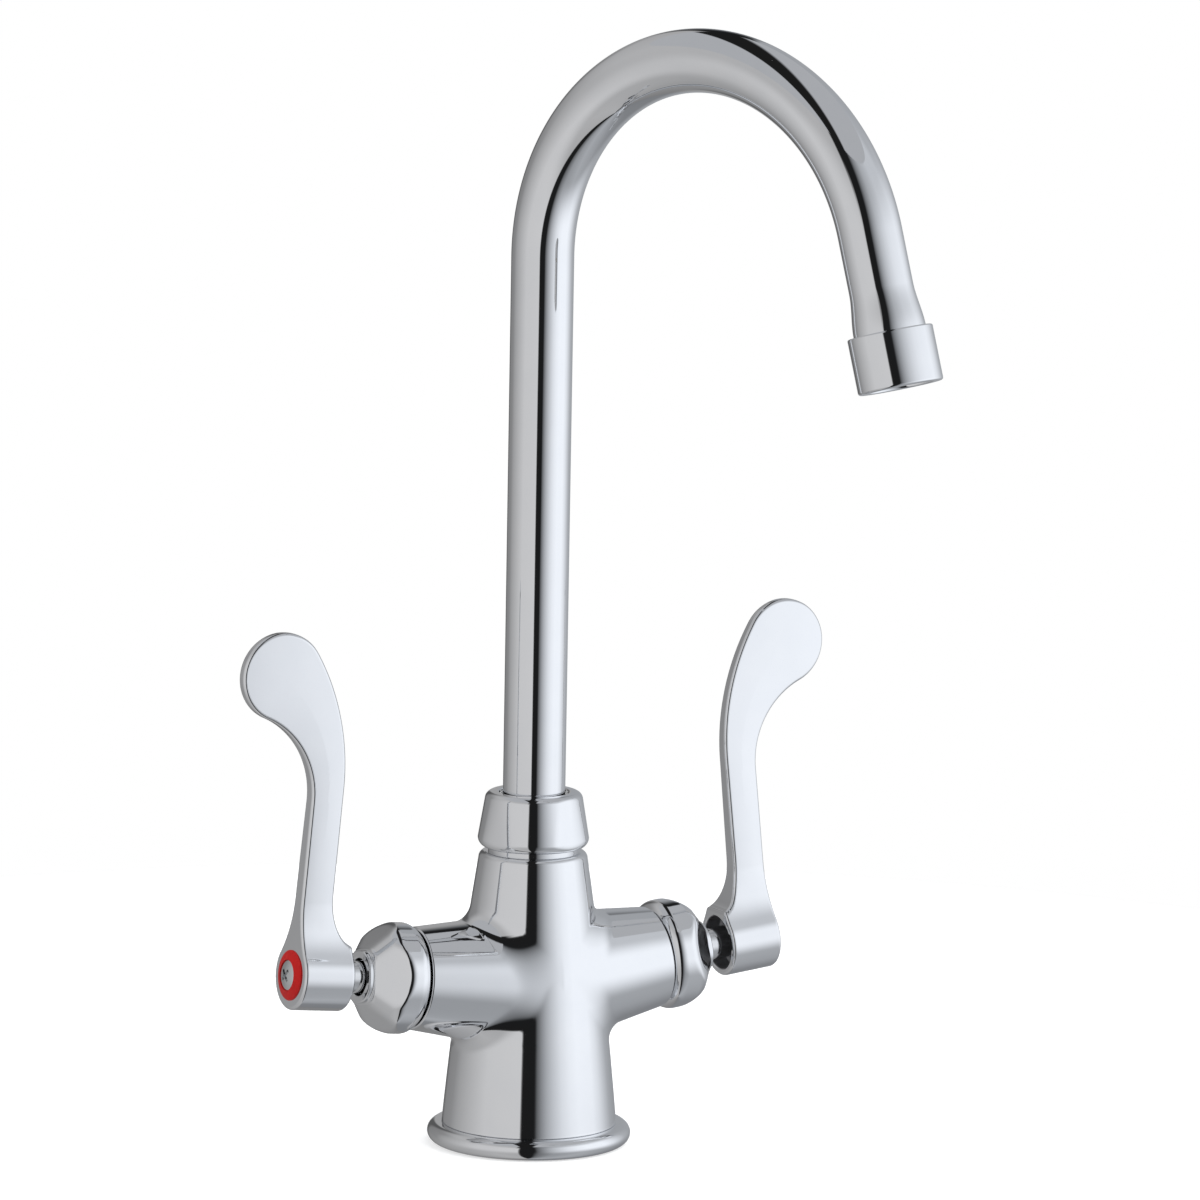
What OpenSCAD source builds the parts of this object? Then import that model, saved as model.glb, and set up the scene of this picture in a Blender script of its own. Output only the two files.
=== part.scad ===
// Laboratory gooseneck tap with two wristblade handles, for one hole in a worktop.
// Origin at the middle of the underside, +Z up, the front towards -Y, hot on the -X side.

/* [Gooseneck] */
// Outside diameter of the spout tube
tube_d = 19.05; // [16:0.05:22]
// Wall of the spout tube
tube_wall = 1.2; // [0.8:0.1:1.6]
// Radius of the bend at the middle of the tube
bend_r = 63.5; // [45:0.5:90]
// Angle through which the tube is bent
bend_angle = 164; // [140:1:178]
// Height of the start of the bend above the deck
spring_z = 273.3; // [180:0.1:360]
// Straight length from the bend to the aerator
tail_len = 29.5; // [20:0.5:50]
// Diameter of the swaged tip
tip_d = 21.5; // [20:0.1:23]
// Length of the swaged tip's taper
tip_len = 13; // [8:0.5:18]
// Swing of the spout at rest, from straight ahead towards the cold side
spout_swing = 22; // [-90:1:90]

/* [Aerator] */
// Outside diameter of the aerator housing
aerator_d = 25.4; // [24:0.1:30]
// Length of the aerator housing
aerator_len = 16.7; // [14:0.1:24]
// Wall of the aerator housing
aerator_wall = 1.6; // [1.2:0.1:2]
// Lip that holds the insert in the housing
aerator_lip = 1.5; // [1:0.1:2.5]
// Rounding of the housing's lower edge
aerator_round = 0.8; // [0.3:0.1:1.2]
// Length of the threaded bush in the tube's tip
bush_len = 12; // [10:0.5:16]
// Thread length of the bush below the tip
bush_thread = 4.5; // [3:0.5:6]
// Wall of the bush
bush_wall = 1.6; // [1.2:0.1:2.2]
// Thickness of the aerator gasket
gasket_t = 1.6; // [1:0.1:2.5]
// Thickness of the aerator screen
screen_t = 0.8; // [0.6:0.1:1.5]
// Diameter of the screen's holes
screen_hole_d = 1.6; // [1:0.1:2]
// Spacing of the screen's holes
screen_pitch = 2.9; // [2.5:0.1:4]

/* [Base] */
// Diameter of the base ring
base_d = 62.4; // [56:0.2:75]
// Height of the base ring
base_h = 6; // [5:0.5:9]
// Width of the base ring, from its edge to the body's spigot
base_w = 8.7; // [7:0.1:10]
// Width of the deck seal
seal_w = 3; // [2:0.5:4]
// Depth of the deck seal
seal_t = 2; // [1:0.5:3]
// Spacing of the two stud holes
stud_pitch = 28; // [26:0.5:32]
// Core diameter of the stud holes, for an M8 thread
stud_d = 6.8; // [5:0.1:7.5]
// Depth of the stud holes
stud_depth = 16; // [10:1:20]
// Spacing of the two hose ports
port_pitch = 22; // [20:0.5:24]
// Core diameter of the hose ports, for an M10 fine thread
port_d = 9; // [7:0.1:9.5]

/* [Body] */
// Diameter of the body where it stands on the base ring
foot_d = 53.6; // [51:0.2:56]
// Diameter of the body under its top edge
crown_d = 33.4; // [32:0.2:38]
// Height of the body's shoulder
body_h = 90.6; // [86:0.2:100]
// Rounding of the shoulder
shoulder_round = 2.2; // [0.5:0.1:2.6]
// Wall of the threaded neck under the spout nut
neck_wall = 2; // [1.8:0.1:2.4]
// Height of the neck above the shoulder
neck_h = 10.4; // [9:0.2:13]
// Wall of the spout's collar, from the tube to the socket
collar_wall = 2.275; // [2:0.025:2.6]
// Height of the socket's floor
socket_z = 64; // [62:0.5:66]

/* [Arms] */
// Diameter of the arms at their ends
arm_d = 31.2; // [29:0.2:33]
// Height at which the arms' axes meet
arm_z = 49.7; // [48:0.1:52]
// Upward tilt of the arms
arm_tilt = 6; // [2:0.5:8]
// Length of the arms from the body's axis
arm_len = 42; // [41:0.5:50]
// How far the arms' roots lie inside the body's front
arm_inset = 0.3; // [0.2:0.1:1.5]
// Fillet between the arms and the body
arm_fillet = 5; // [3:0.5:7]

/* [Spout nut] */
// Height of the nut
nut_h = 17.2; // [16:0.2:22]
// Gap between the nut and the body's shoulder
nut_gap = 1.2; // [0.8:0.1:2]
// Wall of the nut round the neck, at its widest
nut_wall = 3.2; // [2.8:0.1:4.4]
// How far the nut's top edge is drawn in from its widest
nut_top_inset = 2; // [1.5:0.1:2.6]
// How deep the nut's flats cut in at their foot
nut_flat_cut = 1; // [0.3:0.1:1.5]
// Slope of the nut's flats
nut_slope = 5; // [0:0.5:8]
// Turn of the nut's flats
nut_turn = -17; // [-45:1:45]
// Thickness of the nut's top
nut_lip = 3; // [2.4:0.1:4]
// Gap round the tube in the nut's top
nut_eye_gap = 1.1; // [0.6:0.1:1.5]

/* [Spout seat] */
// Height of the collar's lower end above the socket's floor
collar_lift = 10; // [8.5:0.5:12]
// Thickness of the collar's flange
collar_flange_t = 2; // [1.5:0.1:2.2]
// Distance by which the flange stays inside the body's neck
collar_inset = 0.5; // [0.3:0.1:0.8]
// Depth of the tube in the collar, short of its lower end
tube_step = 1; // [0.5:0.1:2]
// Thickness of an O-ring on the collar
collar_ring_t = 1.4; // [1.2:0.05:1.5]
// Spacing of the collar's O-rings
collar_ring_pitch = 7; // [5:0.5:9]

/* [Bonnets] */
// Length of a bonnet outside the arm
bonnet_len = 17.3; // [15.5:0.1:20]
// Largest diameter of a bonnet
bonnet_d = 34; // [32:0.2:36]
// Diameter of a bonnet's outer end across its ridges
bonnet_end_d = 18.6; // [17.6:0.2:19.4]
// Radius of a bonnet's bulging rim
rim_r = 4.3; // [3.8:0.1:5]
// Distance from a bonnet's inner face to the widest part of its rim
rim_rise = 3.7; // [2.6:0.1:3.7]
// Distance across the flats at the outer end
bonnet_end_flats = 13.8; // [13:0.2:14.4]
// Slope of a bonnet's flats from its axis
bonnet_slope = 23; // [18:0.5:26]
// Slope of the ridges between a bonnet's flats
ridge_slope = 29; // [24:0.5:29]
// Diameter of the eye round the stem
bonnet_eye_d = 11.4; // [11:0.1:12]
// Groove between a bonnet and its arm
bonnet_groove = 0.5; // [0.3:0.1:1]
// Length of a bonnet's thread in the arm
bonnet_thread = 6; // [5:0.5:7]
// Thickness of a bonnet's roof
bonnet_roof_t = 3; // [2:0.1:3.5]

/* [Valves] */
// Distance of the valve seats from the body's axis
seat_s = 18; // [17:0.5:19]
// Diameter of the bore that holds a cartridge
valve_bore_d = 20; // [19:0.1:20.5]
// Diameter of the thread that holds a bonnet
arm_thread_d = 25; // [24.5:0.1:26]
// Diameter of the gallery round a cartridge
gallery_d = 22.4; // [21.6:0.1:23]
// Diameter of the waterways in the body
waterway_d = 6; // [5:0.5:6.5]
// Wall of a cartridge sleeve
sleeve_wall = 1.5; // [1.2:0.1:1.7]
// Diameter of a cartridge's neck
cart_neck_d = 14; // [13.6:0.1:14.4]
// Width of the windows in a cartridge sleeve
cart_slot_w = 5.6; // [4:0.2:7]
// Length of the windows along the arm
cart_slot_len = 3; // [2:0.2:4]
// Thickness of the O-ring round a cartridge
cart_ring_t = 1.2; // [1:0.05:1.3]
// Thickness of a cartridge's flange
cart_flange_t = 1.6; // [1.2:0.1:2]
// Thickness of a seat seal
seat_seal_t = 2; // [1.5:0.1:2.5]
// Inside diameter of a seat seal
seat_seal_id = 11; // [10.5:0.1:12]
// Thickness of a fixed disc
fixed_disc_t = 3.5; // [2.5:0.1:4]
// Thickness of a moving disc
moving_disc_t = 3; // [2.5:0.1:3.5]
// Diameter of a port in the discs
disc_port_d = 4.4; // [3.5:0.1:4.8]
// Distance of the ports from the axis
disc_port_r = 4; // [3.5:0.1:4.2]

/* [Stems] */
// Diameter of a valve stem
stem_d = 9.9; // [9:0.1:10]
// Thickness of a stem's driving flange
stem_flange_t = 2.5; // [2:0.1:3]
// Length of stem that shows between bonnet and handle
stem_show = 5.9; // [4.5:0.1:10]
// Diameter of a stem's serrated end
drive_d = 7.6; // [7.2:0.1:8]
// Length of a stem's serrated end
drive_len = 6.6; // [5:0.2:7]
// Thickness of a stem O-ring
stem_ring_t = 1.2; // [1:0.05:1.3]
// Spacing of a stem's O-rings
stem_ring_pitch = 4; // [3:0.5:5]
// Thickness of a stem clip
clip_t = 0.9; // [0.7:0.1:1.1]
// Outside diameter of a stem clip
clip_d = 13; // [12.4:0.1:13.4]
// Room between a stem clip and the bonnet's roof
clip_room = 1; // [0.5:0.1:1.5]

/* [Handles] */
// Diameter of a handle's hub
hub_d = 21; // [20:0.2:24]
// Length of a handle's hub
hub_len = 17; // [15.6:0.2:20]
// Depth of the cup in a hub's inner face
cup_depth = 6; // [4:0.2:6.4]
// Wall of the hub round the cup
cup_wall = 2.2; // [1.8:0.1:3]
// Reach of a blade's tip from the hub's axis
blade_reach = 104; // [90:0.5:130]
// Width of a blade's neck
blade_neck_w = 10.6; // [9:0.2:11]
// Thickness of a blade at its neck
blade_neck_t = 6.2; // [5:0.2:7]
// Thickness of a blade at its tip
blade_tip_t = 4; // [3:0.2:5]
// Radius of the rounded paddle
paddle_r = 13.5; // [12:0.5:16]
// Distance of the paddle's middle outside the hub's outer face
paddle_out = 13.5; // [11:0.5:15]
// Radius of the blade's inner edge, from neck to paddle
inner_edge_r = 70; // [60:1:90]
// Radius of the hollow under the paddle
outer_edge_r = 26; // [20:1:30]
// Height above the hub's axis at which the neck's inner edge turns out to the hub
throat_v = 25.5; // [20:0.5:30]
// Radius of the hollow between the hub and the blade's faces
web_r = 30; // [20:1:36]

/* [Handle trim] */
// Diameter of an index ring
index_d = 15.3; // [14:0.1:16]
// Height of an index ring at its middle
index_h = 1.3; // [1:0.1:1.8]
// Height of an index ring at its edge
index_edge_h = 0.4; // [0.3:0.1:0.6]
// Diameter of a handle screw's head
screw_head_d = 9.2; // [8.4:0.1:9.6]
// Height of a handle screw's head
screw_head_h = 1.9; // [1.6:0.1:2.3]
// Diameter of a handle screw's thread
screw_d = 4; // [3.5:0.1:4.2]
// Length of a handle screw's thread in the stem
screw_grip = 5; // [4:0.2:6]
// Length of the cross recess in the screw's head
cross_len = 4.6; // [3.6:0.1:5]
// Width of the cross recess
cross_w = 1.1; // [0.8:0.1:1.3]
// Depth of the cross recess
cross_depth = 1.1; // [0.8:0.1:1.3]

/* [Fits] */
// Radial clearance of a turning fit
run_fit = 0.08; // [0.04:0.01:0.1]
// Step by which the tube's tail stays inside the bend's wall
join_step = 0.02; // [0.01:0.01:0.04]
// Radial clearance of a fixed fit
set_fit = 0.05; // [0.02:0.01:0.08]
// Gap between flat faces that turn on each other
face_gap = 0.1; // [0.05:0.05:0.2]
// Depth by which the fillet's skin starts under the plain surfaces
skin_sink = 0.2; // [0.15:0.05:0.4]

/* [Hidden] */
$fn = 96;
// Overlap of pieces that are joined in one solid
eps = 0.01;
// Length of the tube's tail inside the end of the bend
join_len = 1;

chrome = [0.80, 0.81, 0.83];
brass = [0.78, 0.62, 0.30];
steel = [0.62, 0.63, 0.65];
rubber = [0.08, 0.08, 0.08];
ceramic = [0.92, 0.90, 0.86];
plastic = [0.90, 0.90, 0.88];
red = [0.75, 0.08, 0.06];
blue = [0.08, 0.20, 0.65];

// Body: a cone from the base ring to the shoulder
spigot_d = base_d - 2 * base_w;
crown_z = body_h - shoulder_round;
cone_angle = atan((foot_d - crown_d) / 2 / (crown_z - base_h));
function cone_r(z) = foot_d / 2 - (z - base_h) * tan(cone_angle);
arm_root_r = cone_r(arm_z) - arm_inset;
arm_taper = atan((arm_root_r - arm_d / 2) / arm_len);
function arm_r(s) = arm_root_r - s * tan(arm_taper);
neck_top = body_h + neck_h;
port_x = port_pitch / 2;
seal_middle_d = base_d - base_w;

// Spout seat, from the tube out to the nut
socket_d = tube_d + 2 * collar_wall;
neck_d = socket_d + 2 * neck_wall;
nut_d = neck_d + 2 * nut_wall;
nut_top_d = nut_d - 2 * nut_top_inset;
nut_flats = nut_d - 2 * nut_flat_cut;

// Spout seat, from the socket's floor to the nut's top
collar_z = socket_z + collar_lift;
collar_d = socket_d - 2 * run_fit;
flange_z = neck_top + face_gap;
flange_top = flange_z + collar_flange_t;
nut_z = body_h + nut_gap;
nut_top = nut_z + nut_h;
nut_roof = nut_top - nut_lip;
nut_bore_d = neck_d + 2 * set_fit;
tube_z = collar_z + tube_step;
tube_bore_d = tube_d - 2 * tube_wall;
collar_ring_z = (collar_z + neck_top) / 2;

// Aerator, measured down from the end of the tube
tip_bore_d = tip_d - 2 * tube_wall;
bush_grip = bush_len - bush_thread;
bush_taper = (tip_d - tube_d) * bush_grip / tip_len;
bush_d = tip_bore_d - bush_taper - 2 * set_fit;
bush_bore_d = bush_d - 2 * bush_wall;
thread_d = aerator_d - 2 * aerator_wall;
insert_floor = aerator_len - aerator_lip;
insert_top = bush_thread + gasket_t;
insert_len = insert_floor - screen_t - insert_top;
insert_d = thread_d - 2 * set_fit;
outlet_d = thread_d - 2 * aerator_lip;

// Arms, with S measured out along an arm's axis from the body's axis
seal_out = seat_s + seat_seal_t;
fixed_out = seal_out + fixed_disc_t;
moving_in = fixed_out + face_gap;
moving_out = moving_in + moving_disc_t;
stem_in = moving_out + face_gap;
stem_flange_out = stem_in + stem_flange_t;
chamber_out = stem_flange_out + face_gap;
flange_in = arm_len - bonnet_thread - cart_flange_t;
flange_out = arm_len - bonnet_thread;
bonnet_in = arm_len + bonnet_groove;
bonnet_out = bonnet_in + bonnet_len;
bonnet_roof = bonnet_out - bonnet_roof_t;
clip_in = bonnet_roof - clip_room - clip_t;
cart_out = clip_in - face_gap;
hub_in = bonnet_out + stem_show;
hub_out = hub_in + hub_len;
cup_floor = hub_in + cup_depth;
drive_out = cup_floor + drive_len;
gallery_in = moving_in;
gallery_out = stem_flange_out;
sleeve_d = valve_bore_d - 2 * set_fit;
chamber_d = sleeve_d - 2 * sleeve_wall;
disc_d = chamber_d - 2 * set_fit;
turning_d = chamber_d - 2 * run_fit;
cart_flange_d = arm_thread_d - 2 * set_fit;
stem_bore_d = stem_d + 2 * run_fit;
stem_ring_s = (chamber_out + cart_out) / 2;
cart_ring_s = (gallery_out + flange_in) / 2;

// Puts what is drawn along S on the cold arm, with X up across the arm and Y to the front
module on_cold() {
    translate([0, 0, arm_z])
        rotate([0, 90 - arm_tilt, 0])
            rotate([0, 0, 180])
                children();
}

// The hot arm is the cold one's mirror image
module on_hot() {
    mirror([1, 0, 0]) on_cold() children();
}

// Turns the spout's plane to its swing at rest
module on_spout() {
    rotate([0, 0, spout_swing - 90]) children();
}

// Puts the bend's plane at the top of the upright tube, turning from the tube over to the front
module on_bend() {
    on_spout()
        translate([bend_r, 0, spring_z])
            rotate([90, 0, 0])
                mirror([1, 0, 0])
                    children();
}

// Puts what is drawn along Z on the straight tail, from the end of the bend
module on_tail() {
    on_bend()
        rotate([0, 0, bend_angle])
            translate([bend_r, 0, 0])
                rotate([-90, 0, 0])
                    children();
}

// Puts what is drawn along Z at the end of the tail
module at_tip() {
    on_tail() translate([0, 0, tail_len]) children();
}

// A ring of round section about Z
module o_ring(middle_r, thickness) {
    rotate_extrude() translate([middle_r, 0]) circle(d = thickness, $fn = 32);
}

// A plain tube about Z
module pipe(outer_d, inner_d, length) {
    difference() {
        cylinder(d = outer_d, h = length);
        translate([0, 0, -1]) cylinder(d = inner_d, h = length + 2);
    }
}

// Points of an arc
function arc(middle, r, from, to, steps) =
    [for (i = [0:steps]) let (a = from + (to - from) * i / steps) middle + r * [cos(a), sin(a)]];

// Fillet between the cold arm and the body: rings round the arm's axis, each point where the
// rounded sum of the arm's and the cone's distances is zero
blend_in = 2;
blend_rings = 14;
blend_sides = 36;
blend_steps = 24;
blend_out = foot_d / 2 + arm_fillet;
function arm_point(s, a, r) =
    let (v = r * cos(a), w = r * sin(a))
    [s * cos(arm_tilt) - v * sin(arm_tilt), -w, arm_z + s * sin(arm_tilt) + v * cos(arm_tilt)];
function round_sum(a, b, r) = max(r, min(a, b)) - norm([max(r - a, 0), max(r - b, 0)]);
function blend_gap(s, a, r) =
    let (p = arm_point(s, a, r),
        out = norm([p.x, p.y]),
        lean = arm_point(s + sin(arm_taper), a, r + cos(arm_taper)) - p,
        away = lean * [p.x, p.y, 0] / out,
        square = sqrt(max(0.01, 1 - away * away)),
        arm_gap = (r - arm_r(s)) * cos(arm_taper) + skin_sink,
        cone_gap = (out - cone_r(p.z) + skin_sink) * cos(cone_angle))
    round_sum(arm_gap, cone_gap, arm_fillet * square);
function blend_r(s, a, low, high, steps) =
    steps == 0 ? (low + high) / 2 :
    let (middle = (low + high) / 2)
    blend_gap(s, a, middle) > 0 ?
        blend_r(s, a, low, middle, steps - 1) :
        blend_r(s, a, middle, high, steps - 1);

module arm_blend() {
    points = [for (i = [0:blend_rings], j = [0:blend_sides - 1])
        let (s = blend_in + (blend_out - blend_in) * i / blend_rings,
            a = 360 * j / blend_sides,
            low = arm_r(s) - 2 * skin_sink,
            high = arm_r(s) + arm_fillet + 2 * skin_sink)
        arm_point(s, a, blend_r(s, a, low, high, blend_steps))];
    at = function (i, j) i * blend_sides + j % blend_sides;
    sides = [for (i = [0:blend_rings - 1], j = [0:blend_sides - 1], half = [0, 1])
        half == 0 ?
            [at(i, j), at(i + 1, j + 1), at(i, j + 1)] :
            [at(i, j), at(i + 1, j), at(i + 1, j + 1)]];
    inner_end = [for (j = [0:blend_sides - 1]) at(0, j)];
    outer_end = [for (j = [0:blend_sides - 1]) at(blend_rings, blend_sides - 1 - j)];
    polyhedron(points, concat([inner_end, outer_end], sides));
}

// Column of the body with its spigot and its neck
module body_column() {
    rotate_extrude()
        polygon(concat(
            [[0, 0], [spigot_d / 2, 0], [spigot_d / 2, base_h], [foot_d / 2, base_h]],
            arc([cone_r(crown_z) - shoulder_round, crown_z], shoulder_round, 0, 90, 8),
            [[neck_d / 2, body_h], [neck_d / 2, neck_top], [0, neck_top]]));
}

// Bores of one arm, from the seat to the arm's end, and its waterways
module arm_bores() {
    translate([0, 0, seat_s]) cylinder(d = valve_bore_d, h = arm_len);
    translate([0, 0, gallery_in]) cylinder(d = gallery_d, h = gallery_out - gallery_in);
    translate([0, 0, flange_in]) cylinder(d = arm_thread_d, h = arm_len);
    translate([0, 0, port_x - waterway_d / 2]) cylinder(d = waterway_d, h = seat_s);
}

// Waterway from one gallery up into the socket
module rising_waterway() {
    start = arm_point((gallery_in + gallery_out) / 2, 0, gallery_d / 2 - waterway_d / 2);
    goal = [0, 0, socket_z + collar_lift - waterway_d / 2];
    way = goal - start;
    translate(start)
        rotate([0, -acos(way.z / norm(way)), 0])
            cylinder(d = waterway_d, h = norm(way));
}

module body_casting() {
    color(chrome)
        difference() {
            union() {
                body_column();
                on_cold() cylinder(r1 = arm_root_r, r2 = arm_d / 2, h = arm_len);
                on_hot() cylinder(r1 = arm_root_r, r2 = arm_d / 2, h = arm_len);
                arm_blend();
                mirror([1, 0, 0]) arm_blend();
            }
            translate([0, 0, socket_z]) cylinder(d = socket_d, h = neck_top);
            for (side = [0, 1])
                mirror([side, 0, 0]) {
                    on_cold() arm_bores();
                    rising_waterway();
                    translate([port_x, 0, -1]) cylinder(d = port_d, h = arm_z + 1);
                }
            for (side = [-1, 1])
                translate([0, side * stud_pitch / 2, -1]) cylinder(d = stud_d, h = stud_depth + 1);
        }
}

module base_ring() {
    edge_r = base_h / 2;
    color(chrome)
        difference() {
            rotate_extrude()
                polygon(concat(
                    [[spigot_d / 2 + set_fit, 0]],
                    arc([base_d / 2 - edge_r, edge_r], edge_r, -90, 90, 16),
                    [[spigot_d / 2 + set_fit, base_h]]));
            deck_seal_groove();
        }
}

module deck_seal_groove() {
    translate([0, 0, -1]) pipe(seal_middle_d + seal_w, seal_middle_d - seal_w, seal_t + 1);
}

module deck_seal() {
    color(rubber)
        pipe(seal_middle_d + seal_w - 2 * set_fit, seal_middle_d - seal_w + 2 * set_fit, seal_t);
}

module spout_nut() {
    foot_round = 3;
    foot_turn = -75;
    top_round = 1.2;
    top_turn = 15;
    color(chrome)
        difference() {
            intersection() {
                translate([0, 0, nut_z])
                    rotate_extrude()
                        polygon(concat(
                            [[0, 0]],
                            arc([nut_d / 2 - foot_round, foot_round], foot_round, foot_turn, 0, 8),
                            arc([nut_top_d / 2 - top_round, nut_h - top_round], top_round, top_turn, 90, 6),
                            [[0, nut_h]]));
                translate([0, 0, nut_z])
                    rotate([0, 0, nut_turn])
                        for (turn = [0, 90]) rotate([0, 0, turn]) nut_flat_pair();
                cylinder(d = nut_d + 1, h = nut_top);
            }
            translate([0, 0, nut_z - 1]) cylinder(d = nut_bore_d, h = nut_roof - nut_z + 1);
            cylinder(d = tube_d + 2 * nut_eye_gap, h = nut_top + 1);
        }
}

// Wedge between two opposite flats of the nut
module nut_flat_pair() {
    slack = 2;
    foot = nut_flats / 2 + slack * tan(nut_slope);
    top = nut_flats / 2 - (nut_h + slack) * tan(nut_slope);
    rotate([90, 0, 0])
        linear_extrude(height = 2 * nut_d, center = true)
            polygon([[-foot, -slack], [foot, -slack], [top, nut_h + slack], [-top, nut_h + slack]]);
}

module spout_bushing() {
    color(plastic)
        translate([0, 0, flange_top + face_gap])
            pipe(nut_bore_d - 2 * set_fit, tube_d + 2 * run_fit, nut_roof - flange_top - face_gap);
}

// Bulging rim of a bonnet, rolled in towards its boss
module bonnet_rim() {
    rim_start = -asin(rim_rise / rim_r);
    rim_end = 150;
    rim_middle = [bonnet_d / 2 - rim_r, bonnet_in + rim_rise];
    rotate_extrude()
        polygon(concat(
            [[0, bonnet_in]],
            arc(rim_middle, rim_r, rim_start, rim_end, 18),
            [[0, rim_middle.y]]));
}

// Boss of a bonnet: four flats that draw in from the rim to the outer end
module bonnet_boss() {
    boss_len = bonnet_len - rim_rise;
    difference() {
        translate([0, 0, bonnet_in + rim_rise])
            cylinder(r1 = bonnet_end_d / 2 + boss_len * tan(ridge_slope), r2 = bonnet_end_d / 2, h = boss_len);
        for (turn = [0:90:270])
            rotate([0, 0, turn])
                translate([bonnet_end_flats / 2, 0, bonnet_out])
                    rotate([0, -bonnet_slope, 0])
                        translate([0, -bonnet_d, -2 * bonnet_len])
                            cube([bonnet_d, 2 * bonnet_d, 4 * bonnet_len]);
    }
}

module bonnet() {
    color(chrome)
        difference() {
            union() {
                bonnet_rim();
                bonnet_boss();
                translate([0, 0, flange_out])
                    cylinder(d = arm_thread_d - 2 * set_fit, h = bonnet_in - flange_out + 1);
            }
            translate([0, 0, flange_out - 1])
                cylinder(d = cart_neck_d + 2 * set_fit, h = bonnet_roof - flange_out + 1);
            translate([0, 0, flange_out]) cylinder(d = bonnet_eye_d, h = bonnet_out);
        }
}

module cartridge_body() {
    color(brass)
        difference() {
            union() {
                translate([0, 0, seal_out]) cylinder(d = sleeve_d, h = flange_in - seal_out + eps);
                translate([0, 0, flange_in]) cylinder(d = cart_flange_d, h = cart_flange_t);
                translate([0, 0, flange_in]) cylinder(d = cart_neck_d, h = cart_out - flange_in);
            }
            translate([0, 0, seal_out - 1]) cylinder(d = chamber_d, h = chamber_out - seal_out + 1);
            translate([0, 0, seal_out]) cylinder(d = stem_bore_d, h = cart_out);
            translate([0, 0, cart_ring_s])
                rotate_extrude()
                    translate([sleeve_d / 2 - cart_ring_t + set_fit, -cart_ring_t / 2 - set_fit])
                        square([cart_ring_t, cart_ring_t + 2 * set_fit]);
            translate([0, 0, (moving_in + stem_flange_out) / 2])
                cube([2 * sleeve_d, cart_slot_w, cart_slot_len], center = true);
        }
}

module cartridge_o_ring() {
    color(rubber)
        translate([0, 0, cart_ring_s])
            o_ring(sleeve_d / 2 + set_fit - cart_ring_t / 2, cart_ring_t - 2 * set_fit);
}

module fixed_disc() {
    color(ceramic)
        translate([0, 0, seal_out])
            difference() {
                cylinder(d = disc_d, h = fixed_disc_t);
                for (side = [-1, 1])
                    translate([0, side * disc_port_r, -1]) cylinder(d = disc_port_d, h = fixed_disc_t + 2);
            }
}

module seat_seal() {
    color(rubber)
        translate([0, 0, seat_s]) pipe(valve_bore_d - 2 * set_fit, seat_seal_id, seat_seal_t);
}

module moving_disc() {
    color(ceramic)
        translate([0, 0, moving_in])
            difference() {
                cylinder(d = turning_d, h = moving_disc_t);
                for (side = [-1, 1])
                    translate([side * disc_port_r, 0, -1]) cylinder(d = disc_port_d, h = moving_disc_t + 2);
            }
}

module spindle() {
    color(steel)
        difference() {
            union() {
                translate([0, 0, stem_in]) cylinder(d = turning_d, h = stem_flange_t);
                translate([0, 0, stem_in]) cylinder(d = stem_d, h = cup_floor - stem_in);
                translate([0, 0, cup_floor - eps]) cylinder(d = drive_d, h = drive_len + eps, $fn = 12);
            }
            for (side = [-1, 1])
                translate([0, 0, stem_ring_s + side * stem_ring_pitch / 2]) stem_groove(stem_ring_t);
            translate([0, 0, clip_in + clip_t / 2]) stem_groove(clip_t);
            translate([0, 0, drive_out - screw_grip])
                cylinder(d = screw_d + 2 * set_fit, h = screw_grip + 1);
        }
}

// Groove in a stem for a ring of the given width
module stem_groove(width) {
    rotate_extrude()
        translate([stem_d / 2 - stem_ring_t, -width / 2 - set_fit])
            square([stem_ring_t + 1, width + 2 * set_fit]);
}

module spindle_o_rings() {
    color(rubber)
        for (side = [-1, 1])
            translate([0, 0, stem_ring_s + side * stem_ring_pitch / 2])
                o_ring(stem_d / 2 - stem_ring_t / 2, stem_ring_t - set_fit);
}

module spindle_clip() {
    slot_w = stem_d - 2 * stem_ring_t;
    color(steel)
        translate([0, 0, clip_in])
            difference() {
                pipe(clip_d, slot_w + 2 * set_fit, clip_t);
                translate([-clip_d, -slot_w / 2, -1]) cube([clip_d, slot_w, clip_t + 2]);
            }
}

// Front outline of a handle, in the plane of the arm: how far up, then how far along S
neck_in = hub_out - blade_neck_w;
throat_r = neck_in - hub_in;
throat_h = throat_v - hub_d / 2;
paddle = [blade_reach - paddle_r, hub_out + paddle_out];
inner_middle = let (along = neck_in + inner_edge_r)
    [paddle[0] - sqrt(pow(inner_edge_r - paddle_r, 2) - pow(along - paddle[1], 2)), along];
outer_middle = let (along = hub_out + outer_edge_r)
    [paddle[0] - sqrt(pow(outer_edge_r + paddle_r, 2) - pow(along - paddle[1], 2)), along];
function heading(from, to) = atan2(to[1] - from[1], to[0] - from[0]);
function handle_front() =
    let (touch_in = heading(inner_middle, paddle) + 360,
        touch_out = heading(paddle, outer_middle))
    concat(
        [[-hub_d, hub_out], [-hub_d, hub_in]],
        [for (turn = [180:-10:90]) [throat_v + throat_h * cos(turn), hub_in + throat_r * sin(turn)]],
        arc(inner_middle, inner_edge_r, 270, touch_in, 12),
        arc(paddle, paddle_r, touch_in - 360, touch_out, 28),
        arc(outer_middle, outer_edge_r, touch_out + 180, 270, 12));

// Side outline of a blade above its hub, across the arm: how far up, then how far to the front
web_out = blade_neck_t / 2 + web_r;
web_middle = [sqrt(pow(hub_d / 2 + web_r, 2) - pow(web_out, 2)), web_out];
function blade_side() =
    let (half = concat(
        arc(web_middle, web_r, heading(web_middle, [0, 0]), -90, 10),
        [[blade_reach + 1, blade_tip_t / 2]]))
    concat([[0, 0]], half, [for (i = [len(half) - 1:-1:0]) [half[i][0], -half[i][1]]]);

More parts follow.
